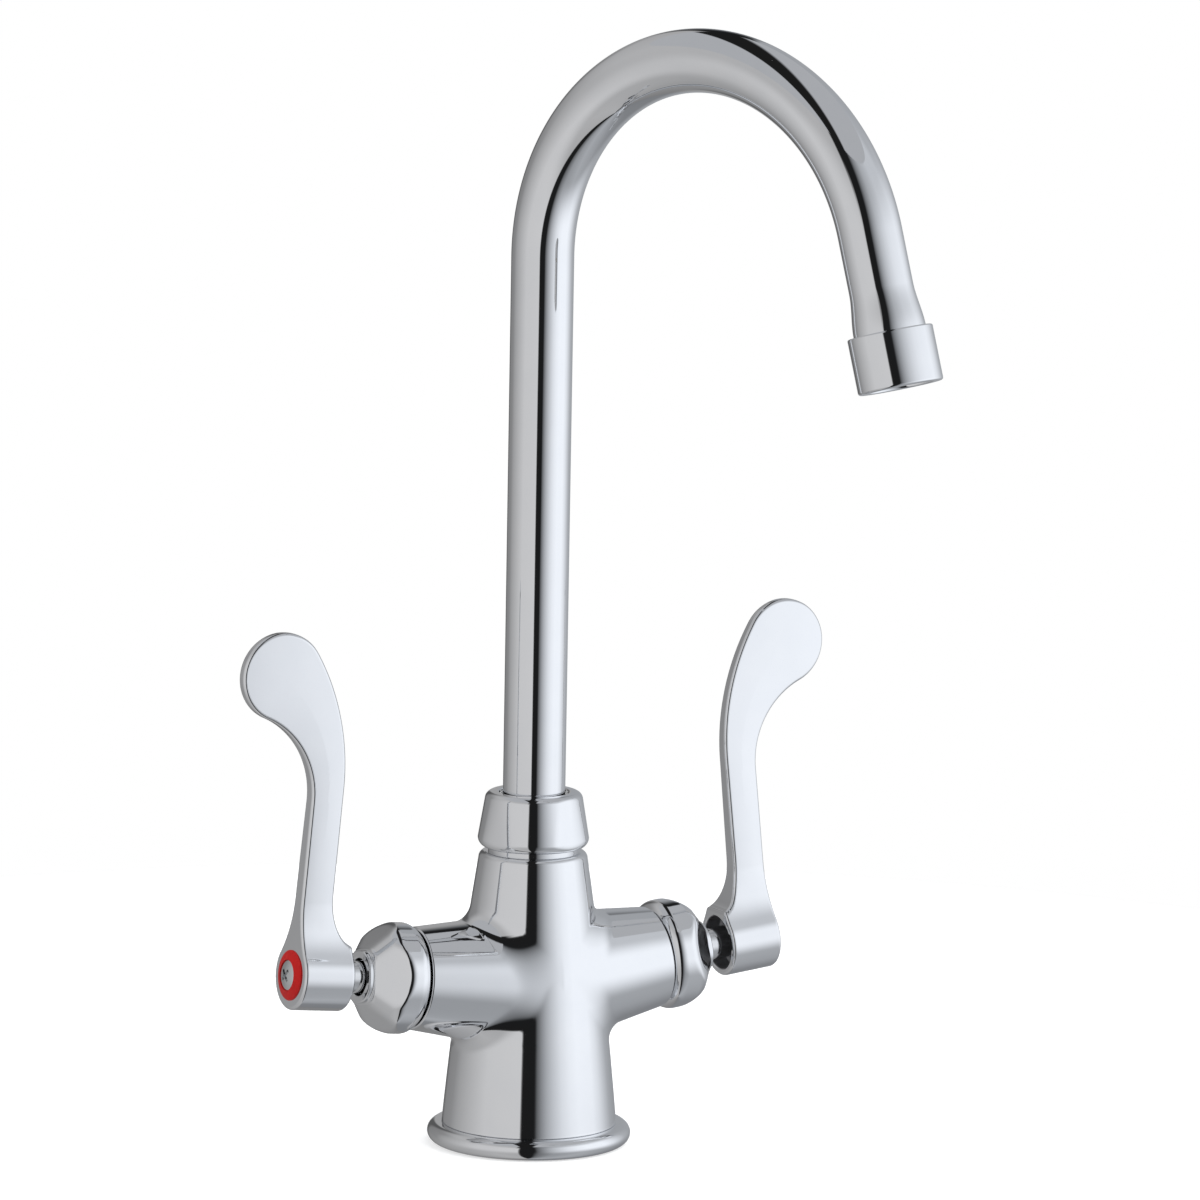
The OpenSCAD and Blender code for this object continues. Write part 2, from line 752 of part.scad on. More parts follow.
module handle() {
    color(chrome)
        difference() {
            intersection() {
                rotate([90, 0, 0])
                    linear_extrude(height = 2 * hub_d, center = true) polygon(handle_front());
                union() {
                    cylinder(d = hub_d, h = hub_out + blade_reach);
                    linear_extrude(height = hub_out + blade_reach) polygon(blade_side());
                }
            }
            translate([0, 0, hub_in - 1]) cylinder(d = hub_d - 2 * cup_wall, h = cup_depth + 1);
            translate([0, 0, hub_in])
                cylinder(d = drive_d + 2 * set_fit, h = drive_out - hub_in + face_gap, $fn = 12);
            translate([0, 0, hub_in]) cylinder(d = screw_d + 4 * set_fit, h = hub_len + 1);
        }
}

module index_ring(ring_colour) {
    color(ring_colour)
        translate([0, 0, hub_out])
            rotate_extrude()
                polygon([[screw_head_d / 2 + set_fit, 0], [index_d / 2, 0], [index_d / 2, index_edge_h],
                    [screw_head_d / 2 + set_fit, index_h]]);
}

module handle_screw() {
    dome = 0.5;
    color(steel)
        difference() {
            union() {
                translate([0, 0, drive_out - screw_grip])
                    cylinder(d = screw_d, h = hub_out - drive_out + screw_grip + eps);
                translate([0, 0, hub_out]) cylinder(d = screw_head_d, h = screw_head_h - dome);
                translate([0, 0, hub_out + screw_head_h - dome])
                    cylinder(d1 = screw_head_d, d2 = screw_head_d - 3 * dome, h = dome);
            }
            for (turn = [0, 90])
                rotate([0, 0, turn + 45])
                    translate([-cross_len / 2, -cross_w / 2, hub_out + screw_head_h - cross_depth])
                        cube([cross_len, cross_w, cross_depth + 1]);
        }
}

module gooseneck_tube() {
    color(chrome) {
        on_spout() translate([0, 0, tube_z]) pipe(tube_d, tube_bore_d, spring_z - tube_z);
        on_bend()
            rotate_extrude(angle = bend_angle)
                translate([bend_r, 0])
                    difference() {
                        circle(d = tube_d);
                        circle(d = tube_bore_d);
                    }
        on_tail() swaged_tail();
    }
}

// Straight tail of the tube, let into the end of the bend's wall and widened to the tip
module swaged_tail() {
    taper_z = tail_len - tip_len;
    outer_r = tube_d / 2 - join_step;
    inner_r = tube_bore_d / 2 + join_step;
    rotate_extrude()
        polygon([[inner_r, -join_len], [outer_r, -join_len], [outer_r, taper_z], [tip_d / 2, tail_len],
            [tip_bore_d / 2, tail_len], [inner_r, taper_z]]);
}

module spout_collar() {
    color(brass)
        difference() {
            union() {
                translate([0, 0, collar_z]) cylinder(d = collar_d, h = flange_top - collar_z);
                translate([0, 0, flange_z]) cylinder(d = neck_d - 2 * collar_inset, h = collar_flange_t);
            }
            translate([0, 0, tube_z]) cylinder(d = tube_d + 2 * set_fit, h = flange_top);
            cylinder(d = tube_bore_d, h = flange_top);
            for (side = [-1, 1])
                translate([0, 0, collar_ring_z + side * collar_ring_pitch / 2])
                    rotate_extrude()
                        translate([collar_d / 2 - collar_ring_t, -collar_ring_t / 2 - set_fit])
                            square([collar_ring_t + 1, collar_ring_t + 2 * set_fit]);
        }
}

module spout_o_rings() {
    color(rubber)
        for (side = [-1, 1])
            translate([0, 0, collar_ring_z + side * collar_ring_pitch / 2])
                o_ring(collar_d / 2 - collar_ring_t / 2, collar_ring_t - set_fit);
}

module outlet_bush() {
    color(brass)
        at_tip() {
            difference() {
                union() {
                    translate([0, 0, -bush_grip]) cylinder(d = bush_d, h = bush_grip + eps);
                    cylinder(d = thread_d - 2 * set_fit, h = bush_thread);
                }
                translate([0, 0, -bush_grip - 1]) cylinder(d = bush_bore_d, h = bush_len + 2);
            }
        }
}

module aerator_housing() {
    edge_middle = [aerator_d / 2 - aerator_round, aerator_len - aerator_round];
    color(chrome)
        at_tip()
            difference() {
                rotate_extrude()
                    polygon(concat(
                        [[0, 0], [aerator_d / 2, 0]],
                        arc(edge_middle, aerator_round, 0, 90, 6),
                        [[0, aerator_len]]));
                translate([0, 0, -1]) cylinder(d = thread_d, h = insert_floor + 1);
                cylinder(d = outlet_d, h = aerator_len + 1);
            }
}

module aerator_gasket() {
    color(rubber)
        at_tip()
            translate([0, 0, bush_thread])
                pipe(insert_d, bush_bore_d, gasket_t);
}

module aerator_insert() {
    ring_wall = 1.4;
    vane = 0.8;
    color(plastic)
        at_tip()
            translate([0, 0, insert_top]) {
                pipe(insert_d, insert_d - 2 * ring_wall, insert_len);
                for (turn = [0:45:135])
                    rotate([0, 0, turn])
                        translate([-insert_d / 2 + ring_wall / 2, -vane / 2, 0])
                            cube([insert_d - ring_wall, vane, insert_len]);
            }
}

module aerator_screen() {
    color(steel)
        at_tip()
            translate([0, 0, insert_top + insert_len])
                difference() {
                    cylinder(d = insert_d, h = screen_t);
                    for (i = [-3:3], j = [-3:3])
                        if (norm([i, j] * screen_pitch) + screen_hole_d < outlet_d / 2)
                            translate([i * screen_pitch, j * screen_pitch, -1])
                                cylinder(d = screen_hole_d, h = screen_t + 2, $fn = 16);
                }
}

body_casting();
base_ring();
deck_seal();
spout_nut();
spout_bushing();
on_hot() bonnet();  // hot_bonnet
on_cold() bonnet();  // cold_bonnet
on_hot() cartridge_body();  // hot_cartridge_body
on_cold() cartridge_body();  // cold_cartridge_body
on_hot() cartridge_o_ring();  // hot_cartridge_o_ring
on_cold() cartridge_o_ring();  // cold_cartridge_o_ring
on_hot() fixed_disc();  // hot_fixed_disc
on_cold() fixed_disc();  // cold_fixed_disc
on_hot() seat_seal();  // hot_seat_seal
on_cold() seat_seal();  // cold_seat_seal
gooseneck_tube();
spout_collar();
spout_o_rings();
outlet_bush();
aerator_housing();
aerator_gasket();
aerator_insert();
aerator_screen();
on_hot() handle();  // hot_handle
on_cold() handle();  // cold_handle
on_hot() index_ring(red);  // hot_index_ring
on_cold() index_ring(blue);  // cold_index_ring
on_hot() handle_screw();  // hot_handle_screw
on_cold() handle_screw();  // cold_handle_screw
on_hot() spindle();  // hot_spindle
on_cold() spindle();  // cold_spindle
on_hot() spindle_clip();  // hot_spindle_clip
on_cold() spindle_clip();  // cold_spindle_clip
on_hot() spindle_o_rings();  // hot_spindle_o_rings
on_cold() spindle_o_rings();  // cold_spindle_o_rings
on_hot() moving_disc();  // hot_moving_disc
on_cold() moving_disc();  // cold_moving_disc
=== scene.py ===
"""The looks of a laboratory gooseneck tap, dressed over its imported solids."""
from math import asin, atan, atan2, cos, pi, radians, sin, sqrt, tan

import bmesh
import bpy
import numpy as np
from mathutils import Matrix, Vector


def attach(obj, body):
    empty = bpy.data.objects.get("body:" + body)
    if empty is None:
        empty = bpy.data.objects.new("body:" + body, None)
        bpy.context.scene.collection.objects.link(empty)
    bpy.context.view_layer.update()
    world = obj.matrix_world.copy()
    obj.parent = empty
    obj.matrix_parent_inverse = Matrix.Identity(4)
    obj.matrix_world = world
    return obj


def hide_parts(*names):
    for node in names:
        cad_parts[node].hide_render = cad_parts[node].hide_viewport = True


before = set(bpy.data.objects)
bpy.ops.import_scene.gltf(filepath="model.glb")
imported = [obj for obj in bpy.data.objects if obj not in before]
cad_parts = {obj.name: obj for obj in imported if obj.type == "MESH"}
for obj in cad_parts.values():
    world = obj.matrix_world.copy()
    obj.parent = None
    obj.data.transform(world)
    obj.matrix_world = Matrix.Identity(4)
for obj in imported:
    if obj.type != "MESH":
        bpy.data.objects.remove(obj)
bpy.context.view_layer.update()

# Base ring: the foot under the body, with a half-round edge that shows as one bright line.
# It is turned from brass bar and chromed, and the body's spigot stands in it and holds it down.
mm = 0.001
base_h = 6 * mm
base_r = 31.2 * mm
spigot_r = 22.5 * mm
seal_groove_in = 25.35 * mm
seal_groove_out = 28.35 * mm
seal_t = 2 * mm
set_fit = 0.05 * mm


class Shade:
    """One output of a shader node. A sum of shades adds its Math nodes to the same material."""

    def __init__(self, tree, socket=None):
        self.tree = tree
        self.socket = socket

    def node(self, kind, settings, sockets, output=0):
        """Adds a node: its settings first, then the values or links of its sockets."""
        made = self.tree.nodes.new("ShaderNode" + kind)
        for name, value in settings.items():
            if name == "stops":
                ramp = made.color_ramp.elements
                for place, colour in value[1:-1]:
                    ramp.new(place)
                for stop, (place, colour) in zip(ramp, value):
                    stop.position = place
                    stop.color = (*colour, 1)
            else:
                setattr(made, name, value)
        for name, value in sockets.items():
            if isinstance(value, Shade):
                self.tree.links.new(value.socket, made.inputs[name])
            else:
                made.inputs[name].default_value = value
        return Shade(self.tree, made.outputs[output]) if made.outputs else None

    def maths(self, operation, first, second):
        return self.node("Math", {"operation": operation}, {0: first, 1: second})

    def __add__(self, other):
        return self.maths("ADD", self, other)

    def __radd__(self, other):
        return self.maths("ADD", other, self)

    def __sub__(self, other):
        return self.maths("SUBTRACT", self, other)

    def __rsub__(self, other):
        return self.maths("SUBTRACT", other, self)

    def __mul__(self, other):
        return self.maths("MULTIPLY", self, other)

    def __rmul__(self, other):
        return self.maths("MULTIPLY", other, self)

    def blend(self, first, second):
        """One colour going over to another as this shade goes from 0 to 1."""
        return self.mix((*first, 1), (*second, 1))

    def mix(self, first, second):
        """One varying colour going over to another as this shade goes from 0 to 1."""
        return self.node("Mix", {"data_type": "RGBA"}, {0: self, 6: first, 7: second}, 2)

    def parts(self):
        """The x, y and z of a place."""
        split = self.node("SeparateXYZ", {}, {"Vector": self}).socket.node
        return [Shade(self.tree, output) for output in split.outputs]

    def noise(self, size, detail=2.0):
        """Cloudy noise whose patches are about the given size."""
        return self.node("TexNoise", {}, {"Vector": self, "Scale": 1 / size, "Detail": detail})


def new_finish(name):
    """An empty material, and the place on the piece that its patterns are drawn by."""
    finish = bpy.data.materials.new(name)
    finish.use_nodes = True
    finish.node_tree.nodes.clear()
    return finish, Shade(finish.node_tree).node("TexCoord", {}, {}, "Object")


def coat(colour, sockets):
    """Ends a material in a surface of the given colour."""
    surface = colour.node("BsdfPrincipled", {}, {"Base Color": colour, **sockets})
    colour.node("OutputMaterial", {}, {"Surface": surface})


def chrome_look(place):
    """Polished chrome: its colour, its slightly smeared sheen and its faint ripple."""
    smear = place.noise(9 * mm, 4.0)
    ripple = place.node("Bump", {}, {"Strength": 0.05, "Distance": 0.02 * mm, "Height": place.noise(14 * mm)})
    return smear.blend((0.88, 0.89, 0.91), (0.93, 0.935, 0.945)), 0.025 + 0.03 * smear, ripple


chrome, place = new_finish("polished_chrome")
bright, sheen, ripple = chrome_look(place)
coat(bright, {"Metallic": 1.0, "Roughness": sheen, "Normal": ripple})


def arc(middle, radius, start, end, steps):
    """Points of an arc in an outline, with its angles in degrees."""
    turns = np.radians(np.linspace(start, end, steps + 1))
    return [(middle[0] + radius * cos(turn), middle[1] + radius * sin(turn)) for turn in turns]


def line(start, end, steps):
    """Points of a straight run in an outline, without its first and last."""
    return [tuple(point) for point in np.linspace(start, end, steps + 1)[1:-1]]


def merge(piece):
    """Closes a mesh where its points meet and turns its faces outwards."""
    bpy.ops.object.mode_set(mode="EDIT")
    bpy.ops.mesh.select_all(action="SELECT")
    bpy.ops.mesh.remove_doubles(threshold=0.001 * mm)
    bpy.ops.mesh.normals_make_consistent(inside=False)
    bpy.ops.object.mode_set(mode="OBJECT")


def begin(name):
    """Takes up the primitive that was just added, with its place in its mesh."""
    piece = bpy.context.object
    piece.name = piece.data.name = name
    bpy.ops.object.transform_apply(location=True, rotation=True, scale=True)
    return piece


def turned(name, outline, sides=192):
    """A piece from the lathe: a closed outline of radii and heights, spun about the upright axis."""
    bpy.ops.object.select_all(action="DESELECT")
    bpy.ops.mesh.primitive_circle_add(vertices=len(outline), radius=mm)
    piece = begin(name)
    for corner, (radius, height) in zip(piece.data.vertices, outline):
        corner.co = (radius, 0, height)
    bpy.ops.object.mode_set(mode="EDIT")
    bpy.ops.mesh.select_all(action="SELECT")
    bpy.ops.mesh.spin(steps=sides, angle=2 * pi, center=(0, 0, 0), axis=(0, 0, 1))
    bpy.ops.object.mode_set(mode="OBJECT")
    merge(piece)
    return piece


def take(piece):
    """Makes a piece the only one selected, and the active one."""
    bpy.ops.object.select_all(action="DESELECT")
    piece.select_set(True)
    bpy.context.view_layer.objects.active = piece


def polish(piece, crease=32):
    """Shades a piece smooth up to its creases, with the flats kept flat."""
    take(piece)
    bpy.ops.object.shade_smooth_by_angle(angle=radians(crease))
    bpy.ops.object.modifier_add(type="WEIGHTED_NORMAL")
    piece.modifiers[-1].keep_sharp = True
    bpy.ops.object.modifier_apply(modifier=piece.modifiers[-1].name)


def dress(piece, finish, body, node):
    """Gives a finished piece its material, the body that carries it and the solid it stands for."""
    piece.data.materials.clear()
    piece.data.materials.append(finish)
    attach(piece, body)
    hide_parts(node)


base_edge = base_h / 2
base_ring = turned("base_foot", [
    (spigot_r + set_fit, 0), (seal_groove_in, 0), (seal_groove_in, seal_t), (seal_groove_out, seal_t),
    (seal_groove_out, 0.15 * mm), *arc((base_r - base_edge, base_edge), base_edge, -75, 90, 32),
    (spigot_r + set_fit, base_h)], 256)
polish(base_ring)
dress(base_ring, chrome, "tap_body", "base_ring")

# Deck seal: a flat ring of black rubber, moulded, let into the underside of the base ring.
# It seals the foot to the deck and isn't seen once the tap stands.
rubber, place = new_finish("black_rubber")
bloom = place.noise(2 * mm, 5.0)
grain = place.node("Bump", {}, {"Strength": 0.2, "Distance": 0.05 * mm, "Height": place.noise(0.4 * mm)})
coat(bloom.blend((0.012, 0.012, 0.013), (0.045, 0.044, 0.042)),
     {"Roughness": 0.5 + 0.25 * bloom, "Normal": grain})


def finish_solids(finish, *nodes):
    """Gives solids that keep their own shape a finish."""
    for node in nodes:
        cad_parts[node].data.materials.clear()
        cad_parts[node].data.materials.append(finish)


finish_solids(rubber, "deck_seal")

# Body: a tapered column with two arms that rise a little and narrow to their ends, all in one.
# It is cast in brass, ground to soft fillets, bored and chromed, and two studs hold it to the deck.
foot_r = 26.8 * mm
crown_r = 16.7 * mm
body_h = 90.6 * mm
shoulder = 2.2 * mm
crown_z = body_h - shoulder
belly = 0.7 * mm
neck_r = 13.8 * mm
neck_top = 101 * mm
socket_r = 11.8 * mm
socket_z = 64 * mm
cone_slope = (foot_r - crown_r) / (crown_z - base_h)
arm_z = 49.7 * mm
arm_tilt = radians(6)
arm_len = 42 * mm
arm_end_r = 15.6 * mm
arm_fillet = 5 * mm
arm_root_r = foot_r - (arm_z - base_h) * cone_slope
arm_slope = (arm_root_r - arm_end_r) / arm_len
edge_round = 0.4 * mm
arm_thread_r = 12.5 * mm
arm_thread_in = 34.4 * mm
arm_bore_r = 10 * mm
arm_bore_in = 18 * mm
cold_arm = (Matrix.Translation((0, 0, arm_z)) @ Matrix.Rotation(pi / 2 - arm_tilt, 4, "Y")
            @ Matrix.Rotation(pi, 4, "Z"))
hot_arm = Matrix.Scale(-1, 4, (1, 0, 0)) @ cold_arm
upright = Matrix.Identity(4)


def column_r(z):
    """The column's radius at a height: a cone with a slight belly."""
    t = (z - base_h) / (crown_z - base_h)
    return foot_r - (z - base_h) * cone_slope + belly * 4 * t * (1 - t)


def body_gap(points):
    """How far points stand outside the column and the arms, rounded together by the fillet."""
    across, front, high = np.abs(points[:, 0]), points[:, 1], points[:, 2] - arm_z
    along = across * cos(arm_tilt) + high * sin(arm_tilt)
    up = high * cos(arm_tilt) - across * sin(arm_tilt)
    off = np.hypot(up, front)
    out = np.hypot(across, front)
    taper, cone = atan(arm_slope), atan(cone_slope)
    arm_gap = (off - arm_root_r + along * arm_slope) * cos(taper)
    column_gap = (out - column_r(points[:, 2])) * cos(cone)
    lean_across = cos(arm_tilt) * sin(taper) - sin(arm_tilt) * up / off * cos(taper)
    away = (lean_across * across + front / off * cos(taper) * front) / out
    fillet = arm_fillet * np.sqrt(np.maximum(0.01, 1 - away ** 2))
    inside = np.hypot(np.maximum(fillet - arm_gap, 0), np.maximum(fillet - column_gap, 0))
    return np.maximum(fillet, np.minimum(arm_gap, column_gap)) - inside


def choose(piece, corner_test):
    """Selects the corners of a piece in edit mode that pass a test, and what lies between them."""
    bpy.ops.mesh.select_mode(type="VERT")
    bpy.ops.mesh.select_all(action="DESELECT")
    mesh = bmesh.from_edit_mesh(piece.data)
    for corner in mesh.verts:
        corner.select_set(corner_test(corner))
    mesh.select_flush(True)
    bmesh.update_edit_mesh(piece.data)


def carry_on(piece, axis, rings, closed=True):
    """Extrudes the selected loop through rings of radius and height about an axis."""
    back = axis.inverted()
    for radius, height in rings:
        bpy.ops.mesh.extrude_region_move()
        mesh = bmesh.from_edit_mesh(piece.data)
        for corner in mesh.verts:
            if corner.select:
                here = back @ corner.co
                turn = atan2(here.y, here.x)
                corner.co = axis @ Vector((radius * cos(turn), radius * sin(turn), height))
        bmesh.update_edit_mesh(piece.data)
    if closed:
        bpy.ops.mesh.edge_face_add()


# A rough cage of the casting first: rings for the column, and a patch on each side drawn out as an arm
column_levels = [level * mm for level in (15, 24.5, 33.5, 42.7, 52, 61.3, 70.6, 79.5, 88.4)]
patch_low, patch_high = column_levels[2], column_levels[6]
patch_half = radians(67.5)
arm_rings = [26 * mm, 31.3 * mm, 36.6 * mm, arm_len]
bpy.ops.object.select_all(action="DESELECT")
bpy.ops.mesh.primitive_circle_add(vertices=16, radius=foot_r, location=(0, 0, base_h + edge_round))
body = begin("body_shell")
bpy.ops.object.mode_set(mode="EDIT")
bpy.ops.mesh.select_all(action="SELECT")
carry_on(body, upright, [(column_r(z), z) for z in column_levels], False)
for side, arm in ((1, cold_arm), (-1, hot_arm)):
    bpy.ops.mesh.select_mode(type="FACE")
    bpy.ops.mesh.select_all(action="DESELECT")
    mesh = bmesh.from_edit_mesh(body.data)
    for face in mesh.faces:
        middle = face.calc_center_median()
        turn = abs(atan2(middle.y, side * middle.x))
        face.select_set(turn < patch_half and patch_low < middle.z < patch_high)
    bmesh.update_edit_mesh(body.data)
    bpy.ops.mesh.extrude_region_move()
    mesh = bmesh.from_edit_mesh(body.data)
    for corner in mesh.verts:
        if corner.select:
            a = atan2(-corner.co.y, side * corner.co.x) / patch_half
            b = 2 * (corner.co.z - patch_low) / (patch_high - patch_low) - 1
            v = b * sqrt(1 - a * a / 2) * arm_end_r * 1.1
            w = a * sqrt(1 - b * b / 2) * arm_end_r * 1.1
            corner.co = arm @ Vector((v, w, arm_rings[0]))
    bmesh.update_edit_mesh(body.data)
    for inner, outer in zip(arm_rings, arm_rings[1:]):
        step = arm.to_3x3() @ Vector((0, 0, outer - inner))
        bpy.ops.mesh.extrude_region_move(TRANSFORM_OT_translate={"value": step})
    bpy.ops.mesh.delete(type="FACE")
bpy.ops.object.mode_set(mode="OBJECT")
bpy.ops.object.modifier_add(type="SUBSURF")
body.modifiers[-1].levels = body.modifiers[-1].render_levels = 4
bpy.ops.object.modifier_apply(modifier=body.modifiers[-1].name)

# Then every point of the fine mesh is let down onto the real surface, and the open ends made true
points = np.array([corner.co for corner in body.data.vertices], float)
probe = 0.002 * mm
for _ in range(16):
    slopes = np.stack([body_gap(points + step) - body_gap(points - step)
                       for step in np.eye(3) * probe], 1) / (2 * probe)
    points -= slopes * (body_gap(points) / np.maximum((slopes ** 2).sum(1), 0.05))[:, None]
body.data.vertices.foreach_set("co", points.astype(np.float32).ravel())
bpy.ops.object.mode_set(mode="EDIT")
mesh = bmesh.from_edit_mesh(body.data)
ends = {"foot": [], "crown": [], "cold": [], "hot": []}
for corner in mesh.verts:
    if corner.is_boundary:
        if corner.co.z < patch_low / 2:
            axis, radius, height = upright, column_r(base_h + edge_round), base_h + edge_round
            ends["foot"].append(corner.index)
        elif corner.co.z > column_levels[-2]:
            axis, radius, height = upright, crown_r, crown_z
            ends["crown"].append(corner.index)
        else:
            name = "cold" if corner.co.x > 0 else "hot"
            axis = cold_arm if corner.co.x > 0 else hot_arm
            height = arm_len - edge_round
            radius = arm_end_r + edge_round * arm_slope
            ends[name].append(corner.index)
        here = axis.inverted() @ corner.co
        turn = atan2(here.y, here.x)
        corner.co = axis @ Vector((radius * cos(turn), radius * sin(turn), height))
bmesh.update_edit_mesh(body.data)
arm_end = [*arc((arm_end_r - edge_round, arm_len - edge_round), edge_round, 15, 90, 5),
           (arm_thread_r, arm_len), (arm_thread_r, arm_thread_in), (arm_bore_r, arm_thread_in),
           (arm_bore_r, arm_bore_in)]
open_ends = [
    ("foot", upright, [*arc((foot_r - edge_round, base_h + edge_round), edge_round, -15, -90, 5),
                       (spigot_r, base_h), (spigot_r, 0)]),
    ("crown", upright, [*arc((crown_r - shoulder, crown_z), shoulder, 9, 90, 12),
                        (neck_r, body_h), (neck_r, neck_top), (socket_r, neck_top), (socket_r, socket_z)]),
    ("cold", cold_arm, arm_end),
    ("hot", hot_arm, arm_end)]
for name, axis, rings in open_ends:
    loop = set(ends[name])
    choose(body, lambda corner: corner.index in loop)
    carry_on(body, axis, rings)
bpy.ops.object.mode_set(mode="OBJECT")
merge(body)


def cut(piece, other):
    """Takes one piece's shape out of another, and throws the other away."""
    take(piece)
    bpy.ops.object.modifier_add(type="BOOLEAN")
    piece.modifiers[-1].object = other
    piece.modifiers[-1].operation = "DIFFERENCE"
    piece.modifiers[-1].solver = "EXACT"
    bpy.ops.object.modifier_apply(modifier=piece.modifiers[-1].name)
    bpy.data.objects.remove(other)


# Underneath are two threaded holes for the studs and the two ports for the hoses
for x, y, radius, depth in ((0, 14, 3.4, 16), (0, -14, 3.4, 16), (11, 0, 4.5, 49), (-11, 0, 4.5, 49)):
    bpy.ops.object.select_all(action="DESELECT")
    bpy.ops.mesh.primitive_cylinder_add(vertices=48, radius=radius * mm, depth=2 * depth * mm,
                                        location=(x * mm, y * mm, 0))
    cut(body, begin("drill"))
polish(body, 40)
dress(body, chrome, "tap_body", "body_casting")

# Valves: in each arm a brass sleeve with two ceramic discs, one still and one turned by the stem,
# on rubber seals. They are bought in as a set, pushed into the arm and held by the bonnet.
brass, place = new_finish("turned_brass")
tarnish = place.noise(5 * mm, 4.0)
cuts = place.node("Bump", {}, {"Strength": 0.15, "Distance": 0.02 * mm, "Height": place.noise(0.5 * mm)})
coat(tarnish.blend((0.72, 0.50, 0.20), (0.86, 0.66, 0.32)),
     {"Metallic": 1.0, "Roughness": 0.22 + 0.16 * tarnish, "Normal": cuts})
ceramic, place = new_finish("ground_ceramic")
speckle = place.noise(0.6 * mm, 3.0)
coat(speckle.blend((0.80, 0.77, 0.70), (0.90, 0.88, 0.83)), {"Roughness": 0.12 + 0.12 * speckle})
for name in ("hot", "cold"):
    finish_solids(brass, f"{name}_cartridge_body")
    finish_solids(ceramic, f"{name}_fixed_disc", f"{name}_moving_disc")
    finish_solids(rubber, f"{name}_cartridge_o_ring", f"{name}_seat_seal", f"{name}_spindle_o_rings")

# Stems: round rods of polished steel that stand out of the bonnets and turn the valves.
# They are turned from bar, with grooves for two seals and a spring clip, and a broached end.
steel, place = new_finish("bright_steel")
brushing = place.noise(3 * mm, 4.0)
coat(brushing.blend((0.74, 0.745, 0.75), (0.84, 0.845, 0.85)),
     {"Metallic": 1.0, "Roughness": 0.06 + 0.08 * brushing})
stem_r = 4.95 * mm
groove_r = 3.75 * mm
drive_r = 3.8 * mm
drive_flat = 3.67 * mm
stem_in = 26.7 * mm
flange_r = 8.37 * mm
flange_out = 29.2 * mm
cup_floor = 71.7 * mm
drive_out = 78.3 * mm
screw_r = 2.05 * mm
screw_in = 73.3 * mm
grooves = [(40.05 * mm, 1.3 * mm), (44.05 * mm, 1.3 * mm), (55.35 * mm, 1.0 * mm)]


def soft_min(first, second, soft):
    """The lesser of two lengths, rounded where they cross."""
    near = np.maximum(soft - np.abs(first - second), 0)
    return np.minimum(first, second) - near ** 2 / (4 * soft)


def flatten(piece, flats, reach, soft, turn=0.0):
    """Cuts flats round a turned piece: reach gives a flat's distance from the axis at a height."""
    points = np.array([corner.co for corner in piece.data.vertices], float)
    radii = np.hypot(points[:, 0], points[:, 1])
    turns = np.arctan2(points[:, 1], points[:, 0]) - turn
    pitch = 2 * pi / flats
    off_flat = turns - pitch * np.round(turns / pitch)
    cut_radii = soft_min(radii, reach(points[:, 2]) / np.cos(off_flat), soft)
    points[:, :2] *= (cut_radii / np.maximum(radii, 0.01 * mm))[:, None]
    piece.data.vertices.foreach_set("co", points.astype(np.float32).ravel())


def true_normals(piece, axis, skin):
    """Gives the corners that lie on a skin that skin's own normals."""
    points = np.array([axis.inverted() @ corner.co for corner in piece.data.vertices], float)
    gap, out = skin(points)
    out = out @ np.array(axis.to_3x3()).T
    normals = []
    for loop, normal in zip(piece.data.loops, piece.data.corner_normals):
        way = out[loop.vertex_index]
        on_skin = abs(gap[loop.vertex_index]) < 0.01 * mm and normal.vector.dot(way) > 0.8
        normals.append(tuple(way) if on_skin else tuple(normal.vector))
    piece.data.normals_split_custom_set(normals)


def on_both_arms(piece, finishes, body_names, node, skin=None):
    """Puts a piece that is drawn along an arm's axis on both arms, each copy with its own mesh."""
    for name, arm in (("cold", cold_arm), ("hot", hot_arm)):
        twin = piece.copy()
        twin.data = piece.data.copy()
        twin.name = twin.data.name = f"{name}_{piece.name}"
        bpy.context.scene.collection.objects.link(twin)
        twin.data.transform(arm)
        if name == "hot":
            twin.data.flip_normals()
        polish(twin)
        if skin:
            true_normals(twin, arm, skin)
        dress(twin, finishes[name], body_names[name], f"{name}_{node}")
    bpy.data.objects.remove(piece)


def alike(value):
    return {"hot": value, "cold": value}


levers = {"hot": "hot_lever", "cold": "cold_lever"}
stem_side = []
for middle, width in grooves:
    stem_side += [(stem_r, middle - width / 2), (groove_r, middle - width / 2),
                  (groove_r, middle + width / 2), (stem_r, middle + width / 2)]
stem = turned("stem", [
    (0, stem_in), (flange_r, stem_in), (flange_r, flange_out), (stem_r, flange_out), *stem_side,
    (stem_r, cup_floor), (drive_r, cup_floor), (drive_r, drive_out), (screw_r, drive_out),
    (screw_r, screw_in), (0, screw_in)], 96)
flatten(stem, 12, lambda s: np.where(s > cup_floor + mm / 2, drive_flat, 1), 0.02 * mm)
on_both_arms(stem, alike(steel), levers, "spindle")
finish_solids(steel, "hot_spindle_clip", "cold_spindle_clip")

# Bonnets: bell-shaped caps with a round rim and four sloping flats that run down to a short round end.
# They are forged in brass, turned and chromed, and screw into the ends of the arms over the valves.
bonnet_in = 42.5 * mm
bonnet_out = 59.8 * mm
bonnet_roof = 56.8 * mm
bonnet_r = 17 * mm
bonnet_bore = 7.05 * mm
bonnet_thread_r = 12.45 * mm
bonnet_thread_in = 36 * mm
bonnet_end_r = 8.3 * mm
bonnet_step = 58.2 * mm
bonnet_square_r = 10 * mm
bonnet_flat = 8.4 * mm
bonnet_slope = tan(radians(45))
bonnet_turn = radians(-12)
bonnet_soft = 1.4 * mm
eye_r = 5.7 * mm
rim_r = 4.3 * mm
rim_s = bonnet_in + 3.7 * mm
ridge_turn = 54
ridge = radians(ridge_turn)
lip = 0.5 * mm
